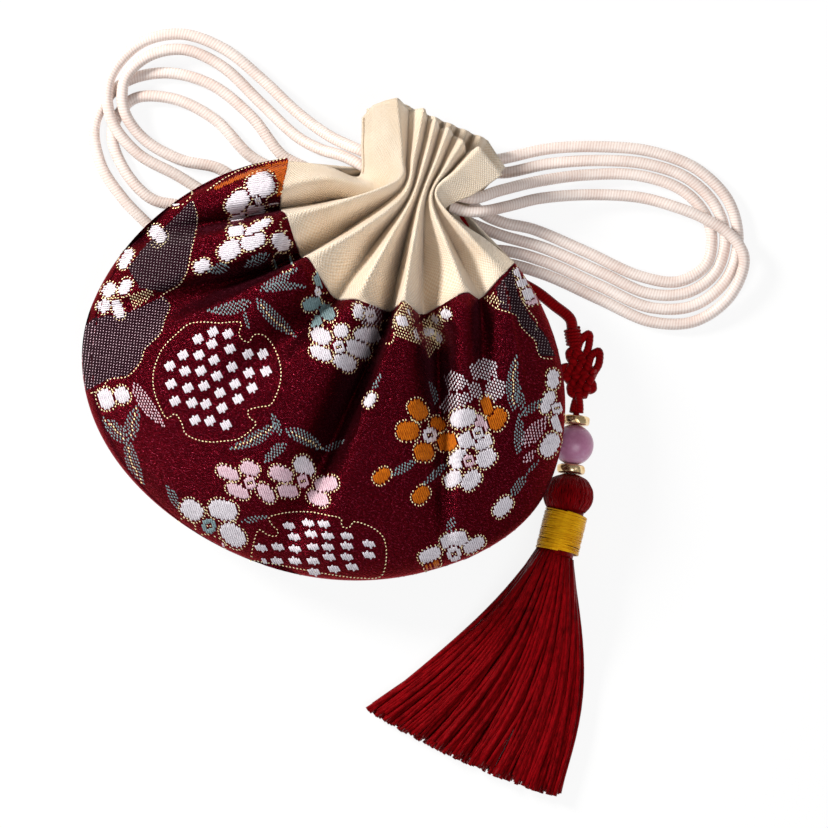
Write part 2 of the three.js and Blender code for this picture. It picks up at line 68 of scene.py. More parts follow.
# Camera: the photograph looks straight down, with the neck turned to the right
PIXEL = 0.24
IMAGE_TURN = math.radians(23.0)
IMAGE_SIZE = 828
IMAGE_CENTRE = Vector((22.0, 4.95, 10.0))
CAMERA_DISTANCE = 1600
SENSOR = 36
CLIP_END = 20
RIGHT = Vector((math.cos(IMAGE_TURN), math.sin(IMAGE_TURN), 0))
UP = Vector((-math.sin(IMAGE_TURN), math.cos(IMAGE_TURN), 0))


def lerp(a, b, t):
    return a + (b - a) * t


def clamp(x, low=0.0, high=1.0):
    return max(low, min(high, x))


def smoothstep(x, low=0.0, high=1.0):
    t = clamp((x - low) / (high - low))
    return t * t * (3 - 2 * t)


def signed_power(x, power):
    return math.copysign(abs(x) ** power, x)


def stretch_at(place, count):
    """The stretch between two of count points that holds a place, and the share of it before the place."""
    place = clamp(place, 0, count - 1)
    k = min(int(place), count - 2)
    return k, place - k


def at_pixel(x, y, z=IMAGE_CENTRE.z):
    """The point at height z, in millimetres, that the photograph shows at this pixel."""
    half = IMAGE_SIZE / 2
    point = IMAGE_CENTRE + RIGHT * ((x - half) * PIXEL) + UP * ((half - y) * PIXEL)
    shrink = (CAMERA_DISTANCE + IMAGE_CENTRE.z - z) / CAMERA_DISTANCE
    flat = IMAGE_CENTRE + (point - IMAGE_CENTRE) * shrink
    return Vector((flat.x, flat.y, z))


def set_camera():
    camera = bpy.data.cameras.new("camera")
    camera.sensor_width = SENSOR
    camera.lens = SENSOR * CAMERA_DISTANCE / (IMAGE_SIZE * PIXEL)
    camera.clip_end = CLIP_END
    holder = bpy.data.objects.new("camera", camera)
    holder.location = (IMAGE_CENTRE + Vector((0, 0, CAMERA_DISTANCE))) * MM
    holder.rotation_euler = (0, 0, IMAGE_TURN)
    bpy.context.collection.objects.link(holder)
    bpy.context.scene.camera = holder


set_camera()


class Graph:
    """A material's node tree round one principled shader."""

    def __init__(self, name):
        self.material = bpy.data.materials.new(name)
        self.material.use_nodes = True
        self.tree = self.material.node_tree
        self.shader = self.tree.nodes["Principled BSDF"]

    def add(self, kind, inputs=(), **settings):
        made = self.tree.nodes.new("ShaderNode" + kind)
        for key, value in settings.items():
            setattr(made, key, value)
        for key, value in dict(inputs).items():
            self.put(made.inputs[key], value)
        return made

    def put(self, socket, value):
        if isinstance(value, bpy.types.NodeSocket):
            self.tree.links.new(value, socket)
        elif isinstance(value, bpy.types.Node):
            self.tree.links.new(value.outputs[0], socket)
        else:
            socket.default_value = value

    def math(self, operation, a, b=0.0):
        return self.add("Math", {0: a, 1: b}, operation=operation)

    def uv(self, x=1.0, y=1.0):
        """Cloth coordinates in millimetres, times these factors."""
        place = self.add("UVMap", uv_map="cloth")
        return self.add("Mapping", {"Vector": place, "Scale": (x, y, 1)})

    def place(self):
        return self.add("TexCoord").outputs["Object"]

    def total(self, a, weight_a, b, weight_b=1.0):
        """Two values added by their weights."""
        parts = [self.math("MULTIPLY", value, weight) for value, weight in ((a, weight_a), (b, weight_b))]
        return self.math("ADD", *parts)

    def spread(self, value, low, high, start=0.0, end=1.0):
        """A value's range from start to end spread over low to high."""
        return self.add("MapRange", {"Value": value, 1: start, 2: end, 3: low, 4: high}).outputs[0]

    def noise(self, vector, scale, detail=2.0, rough=0.5):
        made = self.add("TexNoise", {"Vector": vector, "Scale": scale, "Detail": detail, "Roughness": rough})
        return made.outputs["Fac"]

    def ramp(self, factor, stops):
        made = self.add("ValToRGB", {"Fac": factor})
        ramp = made.color_ramp
        while len(ramp.elements) < len(stops):
            ramp.elements.new(0.5)
        for element, (place, color) in zip(ramp.elements, stops):
            element.position = place
            element.color = (*color, 1)
        return made.outputs["Color"]

    def mix(self, factor, a, b):
        made = self.add("Mix", data_type="RGBA")
        for index, value in ((0, factor), (6, a), (7, b)):
            self.put(made.inputs[index], (*value, 1) if isinstance(value, tuple) else value)
        return made.outputs[2]

    def bump(self, height, strength, distance):
        made = self.add("Bump", {"Height": height, "Strength": strength, "Distance": distance * MM})
        self.put(self.shader.inputs["Normal"], made)

    def finish(self, color, **values):
        self.put(self.shader.inputs["Base Color"], color)
        for key, value in values.items():
            self.put(self.shader.inputs[key.replace("_", " ")], value)
        return self.material


def mesh_object(name, points, faces, material, uv=None, face_uv=None, body=BODY):
    """A smooth mesh piece, given in millimetres, riding on a body, with coordinates by point or by face."""
    mesh = bpy.data.meshes.new(name)
    mesh.from_pydata([tuple(p * MM) for p in points], [], faces)
    mesh.polygons.foreach_set("use_smooth", [True] * len(mesh.polygons))
    if face_uv:
        corners = [corner for face in face_uv for corner in face]
    else:
        corners = [uv[loop.vertex_index] for loop in mesh.loops]
    mesh.uv_layers.new(name="cloth").data.foreach_set("uv", [c for corner in corners for c in corner])
    mesh.materials.append(material)
    mesh.update()
    piece = bpy.data.objects.new(name, mesh)
    bpy.context.collection.objects.link(piece)
    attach(piece, body)
    return piece


def swept_object(name, made, material, body=BODY):
    points, faces, face_uv = made
    return mesh_object(name, points, faces, material, face_uv=face_uv, body=body)


CURVE_STEPS = 24


def catmull(points, step):
    """Points about step apart on the centripetal curve through these points."""
    ends = [points[0] * 2 - points[1], *points, points[-1] * 2 - points[-2]]
    dense = []
    for a, b, c, d in zip(ends, ends[1:], ends[2:], ends[3:]):
        t1 = (b - a).length ** 0.5
        t2 = t1 + (c - b).length ** 0.5
        t3 = t2 + (d - c).length ** 0.5
        for i in range(CURVE_STEPS):
            t = lerp(t1, t2, i / CURVE_STEPS)
            ab, bc, cd = a.lerp(b, t / t1), b.lerp(c, (t - t1) / (t2 - t1)), c.lerp(d, (t - t2) / (t3 - t2))
            abc = ab.lerp(bc, t / t2)
            bcd = bc.lerp(cd, (t - t1) / (t3 - t1))
            dense.append(abc.lerp(bcd, (t - t1) / (t2 - t1)))
    dense.append(points[-1].copy())
    lengths = [0.0]
    for a, b in zip(dense, dense[1:]):
        lengths.append(lengths[-1] + (b - a).length)
    count = max(2, round(lengths[-1] / step))
    path, k = [], 0
    for i in range(count + 1):
        want = lengths[-1] * i / count
        while k < len(lengths) - 2 and lengths[k + 1] < want:
            k += 1
        span = max(lengths[k + 1] - lengths[k], 1e-9)
        path.append(dense[k].lerp(dense[k + 1], clamp((want - lengths[k]) / span)))
    return path, lengths[-1]


def sweep(path, radius, sides, shape=None):
    """A closed tube along a path: points, faces and each face's cloth coordinates in millimetres."""
    points, faces, face_uv = [], [], []
    rings, along = [], 0.0
    side = None
    for i, here in enumerate(path):
        ahead = (path[min(i + 1, len(path) - 1)] - path[max(i - 1, 0)]).normalized()
        if side is None:
            side = ahead.cross(Vector((0, 0, 1)))
            if side.length < 1e-3:
                side = ahead.cross(Vector((1, 0, 0)))
        side = (side - ahead * side.dot(ahead)).normalized()
        other = ahead.cross(side)
        if i:
            along += (here - path[i - 1]).length
        ring = []
        for j in range(sides):
            angle = TAU * j / sides
            reach = radius * (shape(along, angle) if shape else 1.0)
            ring.append(len(points))
            points.append(here + side * (reach * math.cos(angle)) + other * (reach * math.sin(angle)))
        rings.append((ring, along))
    for (low, a), (high, b) in zip(rings, rings[1:]):
        for j in range(sides):
            k = (j + 1) % sides
            faces.append((low[j], low[k], high[k], high[j]))
            u, v = j / sides, (j + 1) / sides
            face_uv.append(((u, a), (v, a), (v, b), (u, b)))
    for (ring, a), turn in ((rings[0], -1), (rings[-1], 1)):
        faces.append(tuple(ring[::turn]))
        face_uv.append(tuple((0.5, a) for _ in ring))
    return points, faces, face_uv


PATTERN_STEP = 37.3


def join_parts(parts):
    """Swept parts as one list of points, faces and face coordinates, each on its own stretch of pattern."""
    points, faces, face_uv = [], [], []
    for n, (part_points, part_faces, part_uv) in enumerate(parts):
        start = len(points)
        points += part_points
        faces += [tuple(i + start for i in face) for face in part_faces]
        face_uv += [[(u, v + n * PATTERN_STEP) for u, v in face] for face in part_uv]
    return points, faces, face_uv


# Cords: the routes of the solids, in millimetres, as (x, y, height) from the middle of the cinch
CORD_DIAMETER = 2.8
FIT_GAP = 0.3
TABLE_CLEARANCE = 0.2
ON_TABLE = CORD_DIAMETER / 2 + TABLE_CLEARANCE
ON_CORD = ON_TABLE + CORD_DIAMETER + TABLE_CLEARANCE
CINCH_Y = 54.5
NECK_X = 1.0
NECK_HEIGHT = 13.5


def at_height(height, *places):
    return [(x, y, height) for x, y in places]


# Left drawstring: doubled and wound twice, its two ends in the neck
LEFT_ROUTE = [
    *at_height(NECK_HEIGHT, (-9.5, 2.8), (-14, 3.5)),
    (-18.5, 3.6, 12.2), (-24, 4, 9.4), (-33, 6.2, 6), (-44, 10.3, 4.2),
    *at_height(ON_CORD, (-55.5, 13.5), (-66.5, 12.7), (-74.8, 6.5), (-78, -4), (-74, -12.5)),
    (-65, -17.7, 3),
    *at_height(
        ON_TABLE, (-54, -18.9), (-45, -20.3), (-34, -22.1), (-25, -22.5), (-18.9, -20), (-16.4, -13.9),
        (-18.9, -7.8), (-25, -5.3), (-32.6, -4.5), (-43, 1.1), (-55.5, 4.5), (-67, 2.5), (-75.3, -4.3),
        (-77.3, -15), (-72, -23.7), (-64, -29.1), (-57, -32.1), (-50, -34.7), (-44, -35.1), (-40, -33.5),
        (-38.4, -29.5), (-40, -25.5), (-44, -23.9), (-50, -25.1), (-57.5, -26.5), (-66.5, -22.5),
        (-72.6, -15.3), (-71.2, -6.3), (-62.5, -2.3), (-51, -2.9), (-39.5, -7.7), (-31, -8.3), (-25, -8.3),
        (-21, -9.9), (-19.4, -13.9), (-21, -17.9), (-25, -19.5), (-32, -18.1), (-44.5, -13.5), (-55, -15.1),
    ),
    (-65, -13.9, 2.8),
    *at_height(ON_CORD, (-72, -9.3), (-74.6, -2.2), (-71.6, 4.7), (-64.5, 9.5), (-54.5, 9.5)),
    (-42, 4.9, 4.4), (-31, 0.9, 6.4), (-24.5, 0.2, 9), (-19, 0.7, 11.9),
    *at_height(NECK_HEIGHT, (-14, 0.4), (-9.5, -0.3)),
]
# Right drawstring: doubled and wound twice, its two ends in the neck
RIGHT_ROUTE = [
    *at_height(NECK_HEIGHT, (9.5, 2.5), (14, 3.6)),
    (19, 7.8, 11), (27, 13.9, 5.8), (37, 19.9, 2.2),
    *at_height(
        ON_TABLE, (48.5, 24.6), (59.4, 25.4), (66.6, 22.4), (70.6, 17.5), (71.8, 11.2), (67.4, 4.9),
        (58.5, 2.4), (44, 2.7), (30, 2.7), (23, 1.4), (18, 1.4), (14.1, 2.8), (12.5, 6.5), (14.1, 10.4),
        (19, 12.9), (27.5, 18.8), (38.7, 24.4), (49.6, 28), (59.8, 28.5), (68.3, 25.1), (73.6, 18.7),
        (74.6, 10.3), (70.4, 3.3), (62, -0.6), (49, -0.5), (34, -0.4), (23, -1.7), (14, -1.8), (8.5, -1.5),
        (4.8, -3), (3.3, -6.7), (4.8, -10.4), (8.5, -11.9), (16, -9.7), (25, -5), (35.5, -3.4), (50, -3.6),
        (63.5, -3.6), (73, 1), (77.6, 9.5), (76.8, 19), (71, 27.2), (60.8, 31.5), (49, 31.1), (37.5, 27.5),
        (26, 22.1), (16, 15.1), (8.5, 10.9), (3.2, 6.5), (0.2, 1.3), (0, -6.5), (3, -12.6), (9, -15.1),
        (17, -12.6), (25, -8.1), (36.5, -6.3), (51.5, -6.6), (65, -6.7), (74.6, -2.5),
    ),
    (80, 6.3, 3.2),
    *at_height(ON_CORD, (79.6, 15.9), (74.8, 19.7), (67, 21.1), (59, 20.9)),
    (50.5, 19.7, 3.4), (39.3, 15.6, 3.8), (28.6, 10, 6.5), (22, 5, 9.6), (17.5, 1.8, 12.7),
    *at_height(NECK_HEIGHT, (13.5, 0), (9.5, -0.5)),
]
# Pendant cord: from under the collar to just short of the knot's sleeve
PENDANT_ROUTE = [
    (17, -3.7, 7.2), (20.5, -5.5, 6.6), (24.5, -9, 5.2), (28.5, -10.5, 3), (32.5, -10.4, 1.8),
    (37, -10.9, 1.7), (41.8, -12.2, 1.7),
]
# Where the pendant cord is sewn into the gathers of the back collar
PENDANT_ANCHOR = (9, -0.9, 7.8)
CORD_STEP = 0.24
CORD_SIDES = 14
RIB_PITCH = 0.7
RIB_DEPTH = 0.016
RIB_SLANT = 2


def satin_cord_material(name, shade, light, rough):
    g = Graph(name)
    around, along = g.add("SeparateXYZ", {0: g.uv()}).outputs[:2]
    ribs = g.math("SINE", g.total(along, TAU / RIB_PITCH, around, TAU * RIB_SLANT))
    fine = g.noise(g.uv(11, 2.6), 1.0, 3.0, 0.6)
    patch = g.noise(g.uv(1.0, 0.12), 1.0, 2.0)
    height = g.total(ribs, 0.3, fine)
    color = g.ramp(g.total(height, 0.35, patch, 0.5), ((0.2, shade), (0.6, light)))
    g.bump(height, 0.4, 0.1)
    roughness = g.spread(fine, rough + 0.2, rough - 0.12)
    return g.finish(color, Roughness=roughness, Specular_IOR_Level=0.45, Specular_Tint=(*light, 1))


def ribbed(along, angle):
    return 1.0 - RIB_DEPTH + RIB_DEPTH * math.cos(TAU * along / RIB_PITCH + RIB_SLANT * angle)


def route_points(route):
    return [Vector((NECK_X + x, CINCH_Y + y, z)) for x, y, z in route]


def satin_cord(node, points, material):
    path, length = catmull(points, CORD_STEP)
    cord = swept_object(node + "_satin", sweep(path, CORD_DIAMETER / 2, CORD_SIDES, ribbed), material)
    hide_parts(node)


white_satin = satin_cord_material("white_satin", (0.66, 0.5, 0.44), (0.89, 0.81, 0.76), 0.26)
red_satin = satin_cord_material("red_satin", (0.11, 0.0009, 0.002), (0.3, 0.003, 0.0055), 0.38)
satin_cord("left_drawstring", route_points(LEFT_ROUTE), white_satin)
satin_cord("right_drawstring", route_points(RIGHT_ROUTE), white_satin)


# Pouch: the solid's surface drawn finer, with deeper folds and a join that waves over them
BELLY_HALF_WIDTH = 59
BELLY_TO_BOTTOM = 42.7
BELLY_TO_CROWN = 55.4
SEAM_HEIGHT = 16
FRONT_RISE = 20
FRONT_ROUNDNESS = 0.55
BACK_DROP = 17.5
BACK_ROUNDNESS = 0.7
SEAM_ROLL = 0.2
SEAM_GROOVE = 0.8
CORNER_ANGLE = math.radians(149)
EDGE_SPREAD = 0.68
EDGE_POWER = 7
END_FLAP = 0.5
# Valleys from left to right: (depth, reach down the pouch, lean of the bottom towards the next crest)
VALLEYS = [(10, 32, 0.1), (12.5, 36, 0.1), (8, 24, 0), (17, 50, 0.06), (15, 36, 0.16), (6, 18, 0)]
LEAN_START = 9
VALLEY_SHARPNESS = 2.6
CREST_RISE = 2.4
CREST_REACH = 22
CREST_START = 3
BACK_FOLD_SHARE = 0.3
LEFT_CORNER_SHIFT = Vector((0.6, 2.0, 0))
LEFT_CORNER_START = 0.82
# How far inside the solid's oval the outline lies, or outside below 0: (angle, spread of angle, distance)
OUTLINE_TRIMS = [(math.radians(54), math.radians(36), 2.9), (math.radians(-46), math.radians(30), -1.0)]
CORNER_LIP = 1.4
CORNER_LIP_REACH = 0.05
SEAM_PINCH = 1.1
SEAM_PINCH_REACH = 2.4
COLUMNS_PER_PLEAT = 40
FRONT_ROWS = 96
BACK_ROWS = 54
# Wrinkles: height, grain across and down with its layer of noise, and the same for those along the pleats
WRINKLE = 0.35
WRINKLE_GRAIN = (0.07, 0.05, 3.0)
PLEAT_WRINKLE = 0.6
PLEAT_GRAIN = (2.3, 0.05, 9.0)
FRONT_WRINKLE = 2
RIM_CALM = 4
BACK_UV_SHIFT = 200
SHARP_FOLD = math.radians(60)
EDGE_LINES = [-1, -0.985, -0.89, -0.83, -0.77, -0.56, -0.36, -0.14, 0.04, 0.19, 0.46, 0.53, 0.6, 0.8, 1]
LAST_CREST = (len(EDGE_LINES) - 3) / 2
# Fold lines of the collar from the left corner to the right one, crests and valleys in turn, in pixels of
# the photograph: at the join, half way up, at the cinch, half way up the frill and at its edge
COLLAR_LINES = [
    ((287.9, 158.9), (325.4, 164.8), (358.3, 175.9), (361.2, 144.1), (361.8, 117.9)),
    ((282.2, 184.7), (327.3, 177.4), (368.8, 181.4), (373.4, 140.4), (373.4, 104.9)),
    ((278.3, 208.4), (329.1, 199.9), (383, 188.4), (388.2, 144.1), (386.4, 100.1)),
    ((286.3, 213.7), (334.6, 203.6), (397.4, 179.6), (402.2, 155.2), (397.1, 97.9)),
    ((300.5, 259.5), (351.3, 225.4), (400.8, 188.4), (406.3, 158.9), (408.9, 109)),
    ((307.9, 255.9), (358.7, 230), (404.1, 194.3), (414.8, 153.3), (424.2, 108.3)),
    ((333.7, 300.7), (373.4, 244.2), (407.1, 199.9), (418.9, 158.9), (427.6, 119)),
    ((356.8, 299.3), (384.1, 249.4), (411.9, 199.1), (425.5, 158.9), (436.2, 118.6)),
    ((391, 313.1), (401.5, 256.8), (415.9, 203.2), (429.6, 164.4), (439.6, 129)),
    ((403, 299.3), (413.1, 243.8), (423.3, 195.1), (437.3, 158.9), (449.2, 127.1)),
    ((421.8, 316.8), (422.9, 256.8), (425.5, 203.2), (441, 166.3), (452.9, 134.5)),
    ((465.8, 290.4), (446.4, 242), (431.1, 198), (446.9, 166.3), (463.6, 140.4)),
    ((480.6, 300.2), (454.7, 247.5), (433.3, 199.1), (450.6, 171.8), (466.2, 153.7)),
    ((504.6, 272.5), (469.5, 236.5), (435.9, 194.3), (456.6, 170), (479.5, 146.5)),
    ((515.7, 261.9), (485.2, 238.3), (445.5, 210.6), (475, 194), (503.1, 175)),
]
STATION_HEIGHTS = [27, 24, 20, 20, 21]
FOLD_ROUNDING = 0.1
JOIN_ROUNDING = 0.3


def traced(line, along):
    """A point of one fold line, by the curve through its stations."""
    points = [at_pixel(x, y, z) for (x, y), z in zip(COLLAR_LINES[line], STATION_HEIGHTS)]
    k, t = stretch_at((along + 1) * 2, len(points))
    a, b = points[k], points[k + 1]
    before = points[k - 1] if k > 0 else a * 2 - b
    after = points[k + 2] if k + 2 < len(points) else b * 2 - a
    return (
        a * 2
        + (b - before) * t
        + (before * 2 - a * 5 + b * 4 - after) * t**2
        + (a * 3 - before - b * 3 + after) * t**3
    ) * 0.5


TRACED_STEPS = 48
traced_lines = [
    [traced(line, i / TRACED_STEPS * 2 - 1) for i in range(TRACED_STEPS + 1)]
    for line in range(len(COLLAR_LINES))
]


def between_lines(place, along):
    k, share = stretch_at(place, len(COLLAR_LINES))
    i, rest = stretch_at((along + 1) / 2 * TRACED_STEPS, TRACED_STEPS + 1)
    low, high = (line[i].lerp(line[i + 1], rest) for line in traced_lines[k : k + 2])
    return low.lerp(high, share)


def across_folds(pleat, along, reader, rounding=FOLD_ROUNDING):
    """Reads a value at a fold place, with the sharp lines rounded a little."""
    place = (pleat + END_FLAP) * 2
    near = [reader(place + shift * rounding, along) for shift in (-1, -0.5, 0, 0.5, 1)]
    return (near[0] + near[1] * 2 + near[2] * 2 + near[3] * 2 + near[4]) * 0.125


def pleat_columns(per_pleat):
    steps = round((LAST_CREST + 2 * END_FLAP) * per_pleat)
    return [i / per_pleat - END_FLAP for i in range(steps + 1)]


def edge_share(pleat):
    """Where a column meets the outline: -1 at the left corner, 0 at the bottom and 1 at the right corner."""
    k, share = stretch_at((pleat + END_FLAP) * 2, len(EDGE_LINES))
    return lerp(EDGE_LINES[k], EDGE_LINES[k + 1], share)


def belly_reach(y):
    return BELLY_TO_CROWN if y > 0 else BELLY_TO_BOTTOM


def edge_point(angle):
    x, y = math.sin(angle), -math.cos(angle)
    return Vector((BELLY_HALF_WIDTH * x, belly_reach(y) * y, 0))


def edge_angle(share):
    return CORNER_ANGLE * (EDGE_SPREAD * share + (1 - EDGE_SPREAD) * share**EDGE_POWER)


def bell(distance, reach):
    return math.exp(-((distance / reach) ** 2))


def outline_trim(angle):
    return sum(depth * bell(angle - middle, spread) for middle, spread, depth in OUTLINE_TRIMS)


def past_end(pleat):
    return max(-pleat, pleat - LAST_CREST, 0) / END_FLAP


def join_point(pleat):
    point = across_folds(pleat, -1, between_lines, lerp(JOIN_ROUNDING, FOLD_ROUNDING, past_end(pleat)))
    return Vector((point.x, point.y, 0))


def fold_drop(pleat, distance):
    if pleat <= 0 or pleat >= LAST_CREST:
        return 0.0
    valley = min(int(pleat), len(VALLEYS) - 1)
    depth, reach, lean = VALLEYS[valley]
    bottom = 0.5 + lean * smoothstep(distance, 0, LEAN_START)
    wave = 0.5 - 0.5 * math.cos(TAU * (pleat - valley) ** (math.log(0.5) / math.log(bottom)))
    rise = CREST_RISE * (1 - wave) ** 2 * bell(distance, CREST_REACH) * smoothstep(distance, 0, CREST_START)
    return depth * wave**VALLEY_SHARPNESS * bell(distance, reach) - rise


def wrinkle_at(x, y, grain):
    return noise.noise(Vector((x * grain[0], y * grain[1], grain[2])))


def pouch_point(pleat, around, groove=0.0):
    """around is 0 at the front join, 1 at the outline and 2 at the back join."""
    share = edge_share(pleat)
    join = join_point(pleat)
    angle = edge_angle(share)
    edge = edge_point(angle) + LEFT_CORNER_SHIFT * smoothstep(-share, LEFT_CORNER_START, 1)
    front = around <= 1
    out = math.sin(math.pi / 2 * (around if front else 2 - around))
    point = join.lerp(edge, out)
    inside = max(0.0, 1 - (point.x / BELLY_HALF_WIDTH) ** 2 - (point.y / belly_reach(point.y)) ** 2)
    away = (point - join).length
    drop = fold_drop(pleat, away)
    lip = CORNER_LIP * (1 - out**2) * math.exp(-inside / CORNER_LIP_REACH)
    calm = min(1, inside * RIM_CALM)
    drop += SEAM_PINCH * bell(away, SEAM_PINCH_REACH) * calm
    crease = WRINKLE * wrinkle_at(point.x, point.y, WRINKLE_GRAIN) * calm
    crease += WRINKLE * PLEAT_WRINKLE * wrinkle_at(pleat, away, PLEAT_GRAIN) * calm
    if front:
        point.z = SEAM_HEIGHT + FRONT_RISE * inside**FRONT_ROUNDNESS - drop + crease * FRONT_WRINKLE + lip
    else:
        flat = SEAM_HEIGHT - BACK_DROP * inside**BACK_ROUNDNESS - lip
        point.z = max(0.0, flat + drop * BACK_FOLD_SHARE + abs(crease))
    inward = join - edge
    inward.z = 0
    point += inward.normalized() * (outline_trim(angle) * out**3)
    if groove and inward.length > groove:
        point += inward.normalized() * groove
    return point


def pouch_loop(pleat):
    seam = 1 + SEAM_ROLL * math.sin(edge_angle(edge_share(pleat)))
    loop = [pouch_point(pleat, seam * i / FRONT_ROWS) for i in range(FRONT_ROWS)]
    loop.append(pouch_point(pleat, seam, SEAM_GROOVE))
    loop += [pouch_point(pleat, lerp(seam, 2, i / BACK_ROWS)) for i in range(1, BACK_ROWS + 1)]
    return loop


def loft(loops):
    """Closed rows of points as points and faces, with both ends closed across the loop."""
    count = len(loops[0])
    points = [p for loop in loops for p in loop]
    faces = []
    for i in range(len(loops) - 1):
        for j in range(count):
            k = (j + 1) % count
            faces.append((i * count + j, i * count + k, (i + 1) * count + k, (i + 1) * count + j))
    last = (len(loops) - 1) * count
    for j in range((count - 1) // 2):
        far = count - 1 - j
        faces.append((j, far, far - 1, j + 1))
        faces.append((last + j, last + j + 1, last + far - 1, last + far))
    return points, faces


def brocade_material():
    g = Graph("maroon_brocade")
    weave = g.noise(g.uv(0.9, 3.2), 1.0, 2.0, 0.6)
    grain = g.noise(g.uv(1.7, 2.6), 1.0, 2.0, 0.7)
    slub = g.noise(g.uv(0.16, 0.16), 1.0, 3.0)
    color = g.ramp(weave, ((0.3, (0.03, 0.0004, 0.002)), (0.74, (0.108, 0.0026, 0.0075))))
    color = g.mix(g.math("MULTIPLY", slub, 0.5), color, (0.05, 0.0008, 0.0038))
    # Light magenta flecks mixed into the colour where the grain is high: painted glints of the satin floats.
    color = g.mix(g.spread(grain, 0.0, 0.6, 0.56, 0.78), color, (0.64, 0.055, 0.125))
    g.bump(g.total(grain, 1.2, weave), 0.9, 0.4)
    return g.finish(
        color,
        Metallic=0.86,
        Roughness=g.spread(grain, 0.42, 0.18),
        IOR=1.2,
        Specular_Tint=(1.0, 0.18, 0.24, 1),
        Sheen_Weight=0.1,
        Sheen_Roughness=0.3,
        Sheen_Tint=(1.0, 0.16, 0.3, 1),
    )


pouch_loops = [pouch_loop(pleat) for pleat in pleat_columns(COLUMNS_PER_PLEAT)]
pouch_points, pouch_faces = loft(pouch_loops)


def make_pouch():
    count = len(pouch_loops[0])
    uv = [(p.x, p.y + (0 if i % count <= FRONT_ROWS else BACK_UV_SHIFT)) for i, p in enumerate(pouch_points)]
    return mesh_object("pouch_brocade", pouch_points, pouch_faces, brocade_material(), uv=uv)


pouch = make_pouch()
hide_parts("brocade_pouch")
pouch.data.set_sharp_from_angle(angle=SHARP_FOLD)

# Collar: pleated cotton, front and back
COLLAR_THICKNESS = 0.45
PLEAT_PITCH = 3.7
BACK_PLEAT_RISE = 5
PLEAT_FULLNESS = 0.8
PLEAT_CRISPNESS = 0.96
COLLAR_BULGE = 1.3
FRILL_HEIGHT = 18
FRILL_SPREAD = 1.05
FRILL_LIFT = 1.2
FLAP_FLARE = 4.5
FLAP_DROP = 4.5
FLAP_LEVEL = 0.6
COLLAR_COLUMNS = 32
COLLAR_ROWS = 28
FRILL_ROWS = 20
MOUTH_HALF_GAP = CORD_DIAMETER / 2 + FIT_GAP
COLLAR_LENGTH = 30
PLEAT_CLOTH = 15
NORMAL_STEP = 1e-3
COTTON_PITCH = 0.75
THREAD_SIDES = 6
HEM_PLEAT = -0.41
HEM_SPAN = (0.1, 0.97)
HEM_STEPS = 12
HEM_STEP = 0.3
HEM_THREAD = 0.16
HEM_TONES = ((0.36, 0.22, 0.12), (0.55, 0.4, 0.26))


def crisp_wave(pleat):
    """1 on a crest and 0 in a valley, with flatter flanks than a plain wave."""
    return 0.5 + 0.5 * math.asin(PLEAT_CRISPNESS * math.cos(TAU * pleat)) / math.asin(PLEAT_CRISPNESS)


def pleat_height(pleat, flap_level):
    past = past_end(pleat)
    if past > 0:
        return lerp(1, flap_level, smoothstep(past))
    return crisp_wave(pleat)


# Heights of the front collar's fold lines at the cinch, half way up the frill and at its edge
CREST_HEIGHTS = (20.4, 21.4, 22.4)
VALLEY_HEIGHTS = (15.6, 15.9, 16.2)
CORNER_HEIGHTS = (14.9, 17.6, 18.8)
FLAP_HEIGHTS = {1: (16.6, 19.6, 20.6), 2: (17.6, 20.8, 21.6)}
MID_CREST_LIFT = 1.5
MID_VALLEY_SINK = 5.0
JOIN_BLEND = -0.68
RUMPLE = 0.28
RUMPLE_GRAIN = (0.22, 0.22, 5.0)


def line_heights(line):
    """One front fold line's height at its five stations."""
    last = len(COLLAR_LINES) - 1
    join = pouch_point(line / 2 - END_FLAP, 0).z - COLLAR_THICKNESS / 2
    above = CREST_HEIGHTS if line % 2 else VALLEY_HEIGHTS
    if line in (0, last):
        above = CORNER_HEIGHTS
    above = FLAP_HEIGHTS.get(line, above)
    shift = 0 if line in (0, last) else MID_CREST_LIFT if line % 2 else -MID_VALLEY_SINK
    return [join, (join + above[0]) / 2 + shift, *above]


front_heights = [line_heights(line) for line in range(len(COLLAR_LINES))]


def height_along(line, along):
    heights = front_heights[line]
    k, t = stretch_at((along + 1) * 2, len(heights))
    return lerp(heights[k], heights[k + 1], (smoothstep(t) + t) * 0.5)


def height_between(place, along):
    k, share = stretch_at(place, len(COLLAR_LINES))
    return lerp(height_along(k, along), height_along(k + 1, along), share)


def front_collar_point(pleat, along):
    join = pouch_point(pleat, 0)
    join.z -= COLLAR_THICKNESS / 2
    if along <= -1:
        return join
    point = across_folds(pleat, along, between_lines)
    point.z = across_folds(pleat, along, height_between)
    point.z += RUMPLE * wrinkle_at(point.x, point.y, RUMPLE_GRAIN)
    return join.lerp(point, smoothstep(along, -1, JOIN_BLEND))


